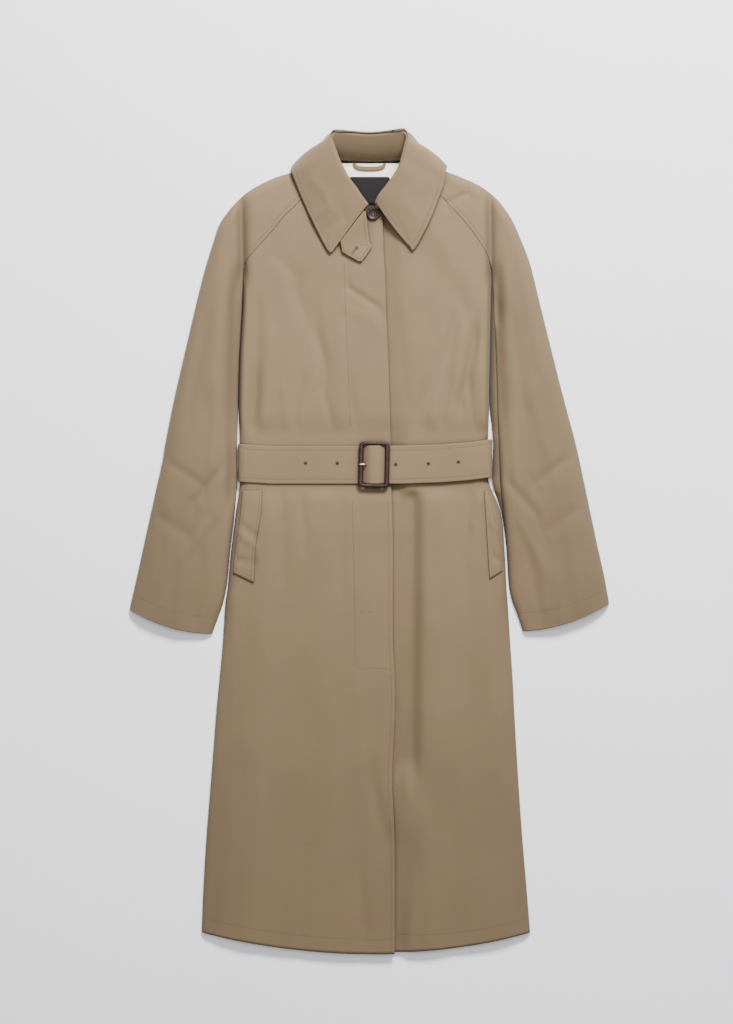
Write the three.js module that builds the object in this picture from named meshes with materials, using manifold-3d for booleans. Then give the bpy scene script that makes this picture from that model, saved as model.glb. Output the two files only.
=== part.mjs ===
// A belted raglan trench coat laid flat on its back, in millimetres, +Z up.
// The origin is the middle of its outline on the surface that it lies on.
import * as THREE from 'three';
import { mergeVertices } from 'three/addons/utils/BufferGeometryUtils.js';
import Module from 'manifold-3d';

// Driving sizes
const GAP = 0.35; // between pieces at seams
const CLOTH = 2.0; // fronts, sleeves and collar, with their turned edges
const BACK_CLOTH = 1.6;
const PLACKET = 1.3;
const LINING = 1.0;
const WELT = 1.3;
const TAB = 1.6;
const TAB_LIFT = 2.5; // its tip stays so far over the front
const LABEL = 0.7;
const BELT_WIDTH = 57;
const BELT_CLOTH = 2.2;
const BUCKLE = {
  x: 7, y: 116.7, width: 46, height: 68, bar: 6.8, rail: 5, corner: 7, thick: 4, z: 17.9, lean: -0.02,
};
const CENTRE_BAR = { width: 3.4, z: 15.2, thick: 2 };
const PRONG = 2.6;
const BUTTON = { x: 5.5, y: 491.5, z: 17.8, across: 19, thick: 2.6 };
const PLACKET_ROOM = 0.7; // over and under the placket
const UNDERLAP = CLOTH + PLACKET + 2 * PLACKET_ROOM; // depth of the covered front under the other one
const EDGE_ROLL = 16; // width over which a folded edge rounds down
const LEAF_REST = TAB + 2 * GAP; // under the leaves there is room for the tab
const BELT_LIFT = BELT_CLOTH + 0.5; // the back rises this far over the belt
const FALL_LIFT = CLOTH + 1.3; // and this far over the collar's fall

const clamp = (t) => Math.min(1, Math.max(0, t));
const smooth = (a, b, t) => { const s = clamp((t - a) / (b - a)); return s * s * (3 - 2 * s); };
const mix = (a, b, t) => a + (b - a) * t;
const rounding = (d, e) => (d >= e ? 1 : Math.sqrt(Math.max(0, 1 - (1 - d / e) ** 2)));

// A value from rows of [at, value], straight between them
function along(rows, at) {
  if (at <= rows[0][0]) return rows[0][1];
  for (let i = 1; i < rows.length; i++)
    if (at <= rows[i][0]) {
      const [a, b] = [rows[i - 1], rows[i]];
      return mix(a[1], b[1], (at - a[0]) / (b[0] - a[0]));
    }
  return rows[rows.length - 1][1];
}

// A point on the smooth curve through rows of numbers, k being a row number with its fraction
function curve(rows, k) {
  const last = rows.length - 1;
  const i = Math.min(last - 1, Math.max(0, Math.floor(k)));
  const t = k - i;
  const row = (n) => rows[Math.min(last, Math.max(0, n))];
  const [a, b, c, d] = [row(i - 1), row(i), row(i + 1), row(i + 2)];
  return b.map((_, n) => {
    const m0 = (c[n] - a[n]) / 2;
    const m1 = (d[n] - b[n]) / 2;
    return (2 * t ** 3 - 3 * t ** 2 + 1) * b[n] + (t ** 3 - 2 * t ** 2 + t) * m0
      + (-2 * t ** 3 + 3 * t ** 2) * c[n] + (t ** 3 - t ** 2) * m1;
  });
}

// Height of the fronts and of the sleeves over the surface, from the hem up, [Y, Z]
const FRONT_CROWN = [
  [-617, 11], [-500, 12], [-350, 13.5], [-150, 15], [20, 16], [62, 15], [82, 12], [165, 12],
  [188, 15], [250, 16], [400, 16.5], [500, 17], [577, 15],
];
const SLEEVE_CROWN = [[-137, 13], [-60, 15], [60, 18], [250, 18], [400, 17.5], [500, 16.5], [577, 13]];

// Largest soft folds: from, to, half width and height (troughs are below zero)
const FOLDS = [
  { x0: 139, y0: 349, x1: 78, y1: 200, half: 12, high: -3.5 }, // chest to belt, left front
  { x0: 166, y0: 250, x1: 172, y1: 190, half: 11, high: 3 }, // bunch at the left side
  { x0: -109, y0: 373, x1: -64, y1: 268, half: 10, high: -1.5 }, // faint slant, right front
  { x0: -170, y0: 230, x1: -178, y1: 185, half: 10, high: -3 }, // dip at the right side
  { x0: -189, y0: 500, x1: -189, y1: 400, half: 9, high: -5 }, // armhole crease, right
  { x0: 179, y0: 516, x1: 182, y1: 400, half: 9, high: -5 }, // armhole crease, left
];
const EDGE_TROUGH = { x0: 61, y0: 55, x1: 62, y1: -330, half: 19, high: -5.5 }; // left front, beside the edge
const BELT_BAND = { low: 84, high: 160, fade: 18 };
const inBelt = (y) => smooth(BELT_BAND.low - BELT_BAND.fade, BELT_BAND.low, y)
  * (1 - smooth(BELT_BAND.high, BELT_BAND.high + BELT_BAND.fade, y));
function folds(x, y, rows = FOLDS) {
  let z = 0;
  for (const f of rows) {
    const [dx, dy] = [f.x1 - f.x0, f.y1 - f.y0];
    const t = clamp(((x - f.x0) * dx + (y - f.y0) * dy) / (dx * dx + dy * dy));
    const far = Math.hypot(x - f.x0 - t * dx, (y - f.y0 - t * dy) * (t > 0 && t < 1 ? 1 : 0.35));
    z += f.high * Math.exp(-((far / f.half) ** 2));
  }
  return z * (1 - inBelt(y));
}

// Top face of the back pieces: raised over the belt and over the collar's fall
const BELT_REACH = [-197.7, 187]; // the belt's two ends across the waist
const lift = (x, y) => (x > BELT_REACH[0] && x < BELT_REACH[1] ? BELT_LIFT * inBelt(y) : 0)
  + FALL_LIFT * smooth(492, 512, y) * (1 - smooth(118, 136, Math.abs(x)));
const backTop = (x, y) => BACK_CLOTH + lift(x, y);

// Seams and edges, one row a station from the neck down, [X, Y]
const RIGHT_SEAM = [ // raglan to row 6, then the side of the body
  [-67, 559], [-86, 535], [-107, 508], [-128, 487], [-146, 465], [-166, 443], [-184, 422], [-189, 401],
  [-189, 379], [-190, 346], [-194, 277], [-195.5, 208], [-194, 154], [-194, 119], [-194, 88], [-200.5, 43],
  [-207.5, -14], [-212, -64], [-216, -91], [-219.5, -146], [-225, -206], [-229.6, -255], [-237, -350],
  [-244, -437], [-249, -521], [-251.5, -584],
];
const LEFT_SEAM = [
  [67, 559], [86, 538], [109, 516], [127, 497], [143, 479], [164, 451], [178, 426], [182, 401],
  [181.5, 379], [181, 346], [179.5, 277], [178.5, 208], [178, 154], [178, 119], [178.4, 92], [197.5, 43],
  [203, -14], [205.5, -64], [207.5, -91], [211, -146], [215, -206], [217.5, -255], [223, -350],
  [229, -437], [236, -521], [241, -584],
];
const FRONT_EDGE = [ // neckline to row 4, then the front edge that lies on top
  [-59, 548], [-49, 527], [-32, 509], [-11, 499], [16, 493], [20, 466], [21, 439], [22.5, 412],
  [24, 383], [25, 346], [28, 277], [30, 208], [31.5, 154], [32, 119], [32.5, 88], [34, 43],
  [35, -14], [35, -64], [35, -91], [35, -146], [38, -206], [38, -255], [34, -350],
  [37.5, -439], [38, -529], [37.5, -616],
];
const UNDER_EDGE = [ // neckline to row 3, then the covered front edge
  [59, 548], [49, 527], [32, 509], [13, 499], [-20, 488], [-25, 466], [-25, 439], [-25, 412],
  [-25, 383], [-24, 346], [-22, 277], [-20, 208], [-19, 154], [-18, 119], [-18, 88], [-17, 43],
  [-16, -14], [-16, -64], [-16, -91], [-15, -146], [-13, -206], [-13, -255], [-14, -350],
  [-12, -439], [-12, -529], [-12, -613],
];
const RIGHT_OUTER = [ // shoulder line, then the outer edge of the sleeve
  [-73, 577], [-93, 565], [-112, 556], [-142, 547], [-176, 530], [-199, 511], [-223, 481], [-234, 451],
  [-246, 412], [-258, 365], [-277, 284], [-293, 214], [-305, 154], [-311, 119], [-318, 88], [-328, 43],
  [-340, -12], [-349, -53], [-355, -79], [-358, -92], [-359.3, -101],
];
const RIGHT_INNER = [ // inner edge of the sleeve, beside the body
  [-67.5, 559.5], [-86.5, 535.5], [-107.5, 508.5], [-128.5, 487.5], [-146.5, 465.5], [-166.6, 443.4],
  [-184.8, 422], [-189.7, 401], [-189.7, 379], [-190.7, 346], [-194.7, 277], [-196.6, 208], [-198.2, 154],
  [-198.2, 119], [-198.2, 88], [-202, 43], [-208.7, -14], [-213.2, -60], [-219, -90], [-227, -113],
  [-235.5, -136.5],
];
const LEFT_OUTER = [
  [73, 577], [93, 565], [112, 557], [137, 548], [166, 534.5], [191, 515], [212, 487], [226, 457],
  [241, 418], [254, 366], [273, 289], [292, 214], [308, 154], [316, 119], [322.5, 88], [332, 43],
  [343.5, -11], [352, -49], [356, -71], [358.2, -83], [359.3, -91.4],
];
const LEFT_INNER = [
  [67.5, 559.5], [86.5, 538.5], [109.4, 516.5], [127.4, 497.5], [143.5, 479.5], [164.6, 451.4],
  [178.9, 426], [184, 401], [185, 379], [187, 346], [190, 277], [192, 208], [193.5, 154],
  [195, 119], [196.5, 88], [201, 43], [205.8, -14], [209, -62], [214, -87], [221, -106], [230, -133],
];
const LEFT_INNER_BACK = [ // the back of that sleeve reaches closer to the body
  ...LEFT_INNER.slice(0, 7), [182.7, 401], [182.2, 379], [181.8, 346], [180.6, 277], [179.9, 208], [187.4, 154],
  [187.4, 119], [188, 88], [198.4, 43], ...LEFT_INNER.slice(16),
];
const RAGLAN_ENDS = 6; // row of the tables where the raglan seam reaches the side
// Sag of the hem and cuff lines under the straight line between their ends, [row, sag]
const HEM_SAG = [[22, 0], [25, 10]];
const CUFF_SAG = [[11, 0], [20, 9]];
const BACK_NECK_RISE = 10;

// A closed wall of cloth between two faces of points
function wall(name, nu, nv, outer, inner, material) {
  const at = [];
  for (const face of [outer, inner])
    for (let j = 0; j <= nv; j++) for (let i = 0; i <= nu; i++) at.push(...face(i, j));
  const id = (f, i, j) => f * (nu + 1) * (nv + 1) + j * (nu + 1) + i;
  const tri = [];
  const quad = (a, b, c, d) => tri.push(a, b, c, a, c, d);
  for (let j = 0; j < nv; j++)
    for (let i = 0; i < nu; i++) {
      quad(id(0, i, j), id(0, i, j + 1), id(0, i + 1, j + 1), id(0, i + 1, j));
      quad(id(1, i, j), id(1, i + 1, j), id(1, i + 1, j + 1), id(1, i, j + 1));
    }
  for (let i = 0; i < nu; i++) {
    quad(id(0, i, 0), id(0, i + 1, 0), id(1, i + 1, 0), id(1, i, 0));
    quad(id(0, i + 1, nv), id(0, i, nv), id(1, i, nv), id(1, i + 1, nv));
  }
  for (let j = 0; j < nv; j++) {
    quad(id(0, 0, j + 1), id(0, 0, j), id(1, 0, j), id(1, 0, j + 1));
    quad(id(0, nu, j), id(0, nu, j + 1), id(1, nu, j + 1), id(1, nu, j));
  }
  let volume = 0;
  const p = (n) => new THREE.Vector3(at[3 * n], at[3 * n + 1], at[3 * n + 2]);
  for (let i = 0; i < tri.length; i += 3) volume += p(tri[i]).dot(p(tri[i + 1]).cross(p(tri[i + 2])));
  if (volume < 0) for (let i = 0; i < tri.length; i += 3) [tri[i], tri[i + 1]] = [tri[i + 1], tri[i]];
  const geometry = new THREE.BufferGeometry();
  geometry.setAttribute('position', new THREE.Float32BufferAttribute(at, 3));
  geometry.setIndex(tri);
  geometry.computeVertexNormals();
  const mesh = new THREE.Mesh(geometry, material);
  mesh.name = name;
  return mesh;
}

// A panel ruled between two edges: rounded edges drop to the piece below, cut edges stay up;
// near holds the shares of the rounding at which its columns stand
function panel(name, material, {
  left, right, rows, step = 1, middle, sag = () => 0, top, low = backTop, near = [0, 0.16, 0.5, 1], thick,
  dropLeft = () => 0, dropRight = () => 0, rollLeft = EDGE_ROLL, rollRight = EDGE_ROLL,
}) {
  const nu = 2 * near.length - 1 + middle;
  const nv = Math.round((rows[1] - rows[0]) / step);
  const face = (inset) => (i, j) => {
    const k = rows[0] + j * step;
    const [a, b] = [curve(left, k), curve(right, k)];
    const w = Math.hypot(b[0] - a[0], b[1] - a[1]);
    const [ux, uy] = [(b[0] - a[0]) / w, (b[1] - a[1]) / w];
    const [dl, dr] = [dropLeft(k), dropRight(k)];
    const eL = Math.min(rollLeft, w * 0.3);
    const eR = Math.min(rollRight, w * 0.3);
    const from = inset * dl;
    const span = w - inset * (dl + dr);
    const s = i < near.length ? near[i] * eL
      : i > nu - near.length ? span - near[nu - i] * eR
        : mix(eL, span - eR, (i - near.length + 1) / (nu - 2 * near.length + 2));
    const bow = sag(k) * 4 * (s / span) * (1 - s / span);
    const [x, y] = [a[0] + ux * (from + s), a[1] + uy * (from + s) - bow];
    const edge = low(x, y) + GAP;
    const round = (1 - dl * (1 - rounding(s, eL))) * (1 - dr * (1 - rounding(span - s, eR)));
    return [x, y, edge + (top(x, y, k, s / span) - inset - edge) * round];
  };
  return wall(name, nu, nv, face(0), face(thick), material);
}

// A thin sheet that lies on a height, between two edges
function patch(name, material, { left, right, step = 1, nu, under, thick, sag = () => 0 }) {
  const nv = Math.round((left.length - 1) / step);
  const face = (up) => (i, j) => {
    const [a, b] = [curve(left, j * step), curve(right, j * step)];
    const u = i / nu;
    const [x, y] = [mix(a[0], b[0], u), mix(a[1], b[1], u) - sag(j * step) * 4 * u * (1 - u)];
    return [x, y, under(x, y) + up];
  };
  return wall(name, nu, nv, face(thick), face(0), material);
}

function look(color, roughness = 0.85, metalness = 0) {
  return new THREE.MeshStandardMaterial({ color, roughness, metalness });
}
const CLOTH_LOOK = look(0xa8967c);
const LINING_LOOK = look(0xf0e8de, 0.6);
const LABEL_LOOK = look(0x373436, 0.7);
const HARD_LOOK = look(0x37231e, 0.35);
const METAL_LOOK = look(0xc8c4ba, 0.3, 0.9);

const coat = new THREE.Group();

// Back panel, flat on the surface, inside the rounded edges of the fronts
coat.add(panel('back_panel', CLOTH_LOOK, {
  left: RIGHT_SEAM, right: LEFT_SEAM, rows: [0, 25], middle: 4, near: [0, 1], low: () => -GAP,
  top: (x, y) => backTop(x, y), thick: BACK_CLOTH,
  sag: (k) => (k < 3 ? -BACK_NECK_RISE * (1 - k / 3) : 2.8 * along(HEM_SAG, k)),
}));

const frontTop = (x, y) => along(FRONT_CROWN, y) + folds(x, y);
const belowRaglan = (k) => smooth(RAGLAN_ENDS - 0.01, RAGLAN_ENDS + 1, k);
coat.add(panel('front_right', CLOTH_LOOK, {
  left: RIGHT_SEAM, right: FRONT_EDGE, rows: [0, 25], middle: 5,
  top: frontTop, thick: CLOTH, dropLeft: belowRaglan, sag: (k) => along(HEM_SAG, k), rollRight: 6,
}));

// X of the front edge by height, [Y, X], and the covered front, which steps down under it
const FRONT_EDGE_X = [
  [-616, 37.5], [-439, 37.5], [-350, 34], [-206, 38], [-146, 35], [43, 34], [154, 31.5],
  [277, 28], [383, 24], [466, 20], [493, 16], [560, 16],
];
const STEP_DOWN = [3, 30]; // from the front edge
const coveredTop = (x, y) => frontTop(x, y) + folds(x, y, [EDGE_TROUGH]) * smooth(30, 50, x)
  - UNDERLAP * (1 - smooth(...STEP_DOWN, x - along(FRONT_EDGE_X, y)));
coat.add(panel('front_left', CLOTH_LOOK, {
  left: UNDER_EDGE, right: LEFT_SEAM, rows: [0, 25], middle: 6,
  top: coveredTop, thick: CLOTH, dropRight: belowRaglan, sag: (k) => along(HEM_SAG, k), rollLeft: 30,
}));

const PLACKET_ROWS = [7, 20]; // rows of the front edge beside which the placket runs
const PLACKET_REACH = [58, 3]; // its two edges, in from the front edge
const [placketInner, placketEdge] = PLACKET_REACH.map(
  (d) => FRONT_EDGE.slice(...PLACKET_ROWS).map(([x, y]) => [x - d, y]),
);
coat.add(patch('fly_placket', CLOTH_LOOK, {
  left: placketInner, right: placketEdge, nu: 3, thick: PLACKET,
  under: (x, y) => frontTop(x, y) - CLOTH - PLACKET_ROOM - PLACKET,
}));

// Sleeves: at the raglan their height is the front's, below it their own
function sleeve(side, outer, inner, innerBack = inner) {
  const top = (x, y, k, u) => mix(
    mix(along(SLEEVE_CROWN, y), along(FRONT_CROWN, y), smooth(0.3, 1, side < 0 ? u : 1 - u)),
    along(SLEEVE_CROWN, y) - 5 * smooth(0.55, 1, side < 0 ? u : 1 - u),
    smooth(RAGLAN_ENDS, RAGLAN_ENDS + 3, k),
  ) + folds(x, y) * (1 - smooth(RAGLAN_ENDS + 2, RAGLAN_ENDS + 4, k));
  const name = side < 0 ? 'right' : 'left';
  const [left, right] = side < 0 ? [outer, inner] : [inner, outer];
  const [dropOuter, dropInner] = [() => 1, belowRaglan];
  coat.add(panel(`sleeve_front_${name}`, CLOTH_LOOK, {
    left, right, rows: [0, 20], middle: 3, top, thick: CLOTH,
    dropLeft: side < 0 ? dropOuter : dropInner, dropRight: side < 0 ? dropInner : dropOuter,
    rollLeft: side < 0 ? EDGE_ROLL : 7, rollRight: side < 0 ? 7 : EDGE_ROLL, sag: (k) => along(CUFF_SAG, k),
  }));
  coat.add(panel(`sleeve_back_${name}`, CLOTH_LOOK, {
    left: side < 0 ? outer : innerBack, right: side < 0 ? innerBack : outer, rows: [0, 20], middle: 0,
    near: [0, 1], low: () => -GAP, top: backTop, thick: BACK_CLOTH, sag: (k) => along(CUFF_SAG, k),
  }));
}
sleeve(-1, RIGHT_OUTER, RIGHT_INNER);
sleeve(1, LEFT_OUTER, LEFT_INNER, LEFT_INNER_BACK);

// Collar: one row a station from the right leaf's front edge round the back to the left leaf's.
// roll is the inner edge, belly a point that the fall bends towards, edge the outer edge;
// z on a leaf's edge is its height over the cloth below, z at the back is over the surface.
const FALL = [
  { roll: [-1.4, 506, 29], belly: [-24, 478, 26], edge: [-55.5, 434.8, null] },
  { roll: [-10, 517, 33], belly: [-34, 484, 28], edge: [-61.5, 435, null] },
  { roll: [-20.5, 532, 36], belly: [-45, 502, 33], edge: [-77, 463, null] },
  { roll: [-32.6, 547.4, 39], belly: [-58, 522, 35], edge: [-89.5, 488.7, null] },
  { roll: [-43, 566.3, 42], belly: [-70, 543, 37], edge: [-99.7, 511.2, null] },
  { roll: [-47.5, 576, 43], belly: [-78, 558, 37], edge: [-108.4, 532, null] },
  { roll: [-51.5, 587, 44], belly: [-86, 572, 37], edge: [-116, 553, null] },
  { roll: [-55, 597, 44.5], belly: [-92, 585, 33], edge: [-117, 562.5, 9] },
  { roll: [-57, 602, 44.5], belly: [-98, 590, 14], edge: [-114, 563.5, 0] },
  { roll: [-57.5, 606, 44.5], belly: [-92, 592, -10], edge: [-98, 552, 0] },
  { roll: [-52, 613, 43.5], belly: [-72, 612, -15], edge: [-80, 551, 0] },
  { roll: [-30, 612, 42], belly: [-34, 619, -9], edge: [-42, 551, 0] },
  { roll: [0, 610, 41], belly: [0, 617, -9], edge: [0, 552, 0] },
  { roll: [30, 612.5, 42], belly: [34, 619, -9], edge: [42, 551, 0] },
  { roll: [51, 615, 43.5], belly: [72, 614, -15], edge: [80, 551, 0] },
  { roll: [56, 606, 44.5], belly: [92, 593, -10], edge: [98, 552, 0] },
  { roll: [55.5, 601, 44.5], belly: [98, 590, 14], edge: [113.5, 564, 0] },
  { roll: [54, 596, 44.5], belly: [92, 585, 33], edge: [116.5, 563, 9] },
  { roll: [52, 587, 44], belly: [86, 572, 37], edge: [113.5, 554, null] },
  { roll: [49, 575, 43], belly: [78, 556, 37], edge: [111.5, 536, null] },
  { roll: [44, 560, 42], belly: [72, 538, 37], edge: [104, 515, null] },
  { roll: [33, 544, 39], belly: [60, 518, 35], edge: [93, 487, null] },
  { roll: [23, 531, 36], belly: [48, 496, 33], edge: [81, 462, null] },
  { roll: [14, 520, 33], belly: [36, 484, 28], edge: [66.5, 437.5, null] },
  { roll: [8.5, 510, 29], belly: [28, 478, 26], edge: [61.5, 440.5, null] },
];
const ROLL = { over: 5, drop: 3 }; // the crest rounds over this width and drops so far
// The stand's top stays so far under and inside the roll, and turns its side over such a width
const STAND = { under: 8.5, inside: 8, turn: 40 };
const NECK_SEAM = [
  [-4, 502, 19.6], [-20, 505, 19.6], [-37, 513, 19.6], [-50, 529, 19.6], [-59, 547, 19.2], [-64, 558, 18.5],
  [-66, 566, 17], [-66, 573, 14], [-64.5, 575, 11.5], [-62, 576, 9], [-52, 573, 6], [-30, 571, 5], [0, 570, 5],
  [30, 571, 5], [52, 573, 6], [62, 576, 9], [64.5, 575, 11.5], [66, 573, 14], [66, 566, 17], [64, 558, 18.5],
  [59, 547, 19.2], [50, 529, 19.6], [37, 513, 19.6], [23, 505, 19.6], [11, 500, 19.6],
];

function fallFace(a, v) {
  const [roll, belly, edge] = [a.slice(0, 3), a.slice(3, 6), a.slice(6, 9)];
  const p = [0, 1, 2].map((n) => (1 - v) ** 2 * roll[n] + 2 * v * (1 - v) * belly[n] + v * v * edge[n]);
  const from = Math.hypot(p[0] - roll[0], p[1] - roll[1], p[2] - roll[2]);
  p[2] -= ROLL.drop * (1 - rounding(from, ROLL.over));
  return [p[0], p[1], Math.max(0, p[2])];
}
const fallRows = FALL.map(({ roll, belly, edge }) => {
  const z = edge[2] ?? frontTop(edge[0], edge[1]) + LEAF_REST + CLOTH;
  return [...roll, ...belly, edge[0], edge[1], z];
});
// Inner face: the outer one moved in along its normal, kept off the surface's plane by the cloth
function offsetFace(at, thick) {
  return (i, j) => {
    const [p, du, dv] = [at(i, j), [at(i + 0.01, j), at(i - 0.01, j)], [at(i, j + 0.01), at(i, j - 0.01)]];
    const a = du[0].map((c, n) => c - du[1][n]);
    const b = dv[0].map((c, n) => c - dv[1][n]);
    const m = new THREE.Vector3(...a).cross(new THREE.Vector3(...b)).normalize().multiplyScalar(thick);
    return [p[0] + m.x, p[1] + m.y, p[2] + m.z];
  };
}
const FALL_SHARES = [0, 0.02, 0.06, 0.2, 0.4, 0.6, 0.8, 0.9, 1];
const lastRow = FALL.length - 1;
const shareRows = FALL_SHARES.map((share, n) => [n, share]);
const fallAt = (i, j) => fallFace(curve(fallRows, clamp(j / lastRow) * lastRow), along(shareRows, i));
coat.add(wall('collar_fall', FALL_SHARES.length - 1, lastRow, fallAt, offsetFace(fallAt, CLOTH), CLOTH_LOOK));

const standAt = (i, j) => {
  const k = clamp(j / lastRow) * lastRow;
  const [seam, row] = [curve(NECK_SEAM, k), curve(fallRows, k)];
  const side = Math.max(-1, Math.min(1, row[0] / STAND.turn));
  const up = [row[0] - 0.8 * side * STAND.inside, row[1] - 0.6 * STAND.inside];
  const top = [up[0], up[1], row[2] - STAND.under];
  const u = clamp(i / 3);
  return seam.map((c, n) => mix(c, top[n], u));
};
coat.add(wall('collar_stand', 3, lastRow, standAt, offsetFace(standAt, CLOTH), CLOTH_LOOK));

// Lining inside the back neck, the bare label on it and the hanger loop over both
const LINING_ROWS = {
  left: [[-50, 568.2], [-62, 545], [-80, 520], [-92, 505]],
  right: [[50, 568.2], [62, 545], [80, 520], [92, 505]],
};
const insideBack = (x, y) => backTop(x, y) + 0.7;
coat.add(patch('back_neck_lining', LINING_LOOK, { ...LINING_ROWS, nu: 6, thick: LINING, under: insideBack }));
const LABEL_ROWS = {
  left: [[-32, 548], [-32, 530], [-32, 508]], right: [[32.3, 548], [32.3, 530], [32.3, 508]],
};
coat.add(patch('neck_label', LABEL_LOOK, {
  ...LABEL_ROWS, nu: 3, thick: LABEL, under: (x, y) => insideBack(x, y) + LINING + 0.5,
}));
const LOOP = { half: 24.5, top: 566, hang: 559, width: 7, thick: 1.6, ends: 3 };
const loopAt = (i, j) => {
  const t = -1 + j / 6;
  const y = mix(LOOP.hang, LOOP.top, t * t);
  return [t * LOOP.half, y - i * LOOP.width];
};
coat.add(wall('hanger_loop', 1, 12, (i, j) => {
  const [x, y] = loopAt(i, j);
  return [x, y, insideBack(x, y) + LINING + 0.5 + LOOP.thick];
}, (i, j) => {
  const [x, y] = loopAt(i, j);
  return [x, y, insideBack(x, y) + LINING + 0.5];
}, CLOTH_LOOK));

// Throat tab, from the right leaf's front edge over the right front
const TAB_ROWS = {
  left: [
    [-8.6, 495], [-20.4, 480.2], [-32.6, 464.2], [-43.2, 450.4], [-40.8, 434.5], [-28, 427], [-15.5, 420.5],
  ],
  right: [[-5.6, 494.6], [-3.4, 478], [-1.8, 462], [0, 449], [3.5, 443.4], [-0.7, 435.5], [-11.5, 420.5]],
};
// Its face is level with the leaf's along the leaf's front edge and comes down to its own tip
const leafEdge = fallRows[0];
function tabUnder(x, y) {
  const v = clamp((leafEdge[1] - y) / (leafEdge[1] - leafEdge[7]));
  const level = (1 - v) ** 2 * leafEdge[2] + 2 * v * (1 - v) * leafEdge[5] + v * v * leafEdge[8];
  const edgeX = mix(leafEdge[0], leafEdge[6], v);
  const rest = frontTop(x, y) + TAB_LIFT + TAB;
  return mix(level, rest, smooth(0, 38, x - edgeX) * smooth(500, 440, y)) - TAB;
}
coat.add(patch('throat_tab', CLOTH_LOOK, { ...TAB_ROWS, nu: 4, thick: TAB, under: tabUnder }));

// Pocket welts, made from the points of the fronts moved out
const WELTS = {
  right: {
    left: [[-190, 78], [-193, 43], [-200, -8], [-204, -45]],
    right: [[-161, 78], [-163, 43], [-171, -8], [-173, -60]],
  },
  left: {
    left: [[172, 78], [174, 43], [177, -8], [180, -54]],
    right: [[180, 78], [190, 43], [196, -8], [199, -42]],
  },
};
// The front's face beside the side of the body, where it rounds down
const sideTop = (seam, side) => (x, y) => {
  const at = along([...seam].slice(7).reverse().map(([a, b]) => [b, a]), y);
  const low = backTop(x, y) + GAP;
  return low + (frontTop(x, y) - low) * rounding(Math.max(0, (x - at) * -side), EDGE_ROLL);
};
for (const [name, rows] of Object.entries(WELTS)) {
  const face = name === 'right' ? sideTop(RIGHT_SEAM, -1) : sideTop(LEFT_SEAM, 1);
  coat.add(patch(`pocket_welt_${name}`, CLOTH_LOOK, {
    ...rows, step: 0.5, nu: 5, thick: WELT, under: (x, y) => face(x, y) + 0.7,
  }));
}

// A rod with a round section along points, closed at both ends
function rod(points, radius, sides = 8) {
  const at = [];
  const tri = [];
  points.forEach((p, n) => {
    const [a, b] = [points[Math.max(0, n - 1)], points[Math.min(points.length - 1, n + 1)]];
    const ahead = new THREE.Vector3(b[0] - a[0], b[1] - a[1], b[2] - a[2]).normalize();
    const across = new THREE.Vector3(0, 1, 0);
    const up = ahead.clone().cross(across).normalize();
    for (let i = 0; i < sides; i++) {
      const turn = (2 * Math.PI * i) / sides;
      at.push(...[0, 1, 2].map((c) => p[c] + radius * (Math.cos(turn) * across.getComponent(c)
        + Math.sin(turn) * up.getComponent(c))));
    }
  });
  for (let n = 0; n + 1 < points.length; n++)
    for (let i = 0; i < sides; i++) {
      const [a, b] = [n * sides + i, n * sides + ((i + 1) % sides)];
      tri.push(a, b, b + sides, a, b + sides, a + sides);
    }
  const end = (points.length - 1) * sides;
  for (let i = 1; i + 1 < sides; i++) tri.push(0, i + 1, i, end, end + i, end + i + 1);
  const geometry = new THREE.BufferGeometry();
  geometry.setAttribute('position', new THREE.Float32BufferAttribute(at, 3));
  geometry.setIndex(tri);
  return geometry;
}

// Cuts and joins of closed shapes
const wasm = await Module();
wasm.setup();
function solid(geometry) {
  const bare = geometry.index ? geometry.toNonIndexed() : geometry.clone();
  for (const name of Object.keys(bare.attributes)) if (name !== 'position') bare.deleteAttribute(name);
  const merged = mergeVertices(bare, 1e-4);
  const made = (tri) => new wasm.Manifold(new wasm.Mesh({
    numProp: 3, vertProperties: merged.attributes.position.array, triVerts: tri,
  }));
  const tri = new Uint32Array(merged.index.array);
  const first = made(tri);
  if (first.volume() > 0) return first;
  for (let i = 0; i < tri.length; i += 3) [tri[i], tri[i + 1]] = [tri[i + 1], tri[i]];
  return made(tri);
}
function meshOf(name, shape, material) {
  const { vertProperties, triVerts } = shape.getMesh();
  const geometry = new THREE.BufferGeometry();
  geometry.setAttribute('position', new THREE.BufferAttribute(new Float32Array(vertProperties), 3));
  geometry.setIndex([...triVerts]);
  geometry.computeVertexNormals();
  const mesh = new THREE.Mesh(geometry, material);
  mesh.name = name;
  return mesh;
}

// Belt: the middle of the strap, from the turn round the buckle's centre bar, right under the end of
// the strap, round the left side, under the back, round the right side and through the buckle, [X, Z]
const BELT_PATH = [
  [10.5, 18.9], [6, 18.9], [2.5, 18], [1.7, 16.2], [2.4, 14.3], [5.2, 13.45], [30, 13.5], [70, 13.5],
  [110, 13.5], [150, 13.5], [170, 13.5], [175, 13], [178.4, 11.2], [180, 8], [180, 3.2], [179.2, 1.4],
  [177.5, 1.1], [120, 1.1], [60, 1.1], [0, 1.1], [-60, 1.1], [-120, 1.1], [-193.6, 1.1], [-195.2, 1.4],
  [-195.9, 3.2], [-195.9, 8], [-194.2, 11], [-191, 13], [-186, 13.5], [-150, 13.5], [-100, 13.5],
  [-60, 13.5], [-28, 13.5], [-16, 13.9], [-9, 15.3], [-4, 17.8], [0, 20.4], [3.4, 21.5], [10.5, 21.5],
  [14.5, 20.4], [19, 17.9], [23, 16.3], [30, 16.1], [70, 16.1], [110, 16.1], [150, 16.1], [170, 16.1],
  [176, 15.7], [180.6, 13.9], [182.7, 10], [182.7, 3],
];
const BELT_MIDDLE = [
  [-196, 119.5], [-149, 116.5], [-40, 116.5], [50, 116.7], [106, 118.5], [151, 122], [183, 126.5],
];
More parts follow.
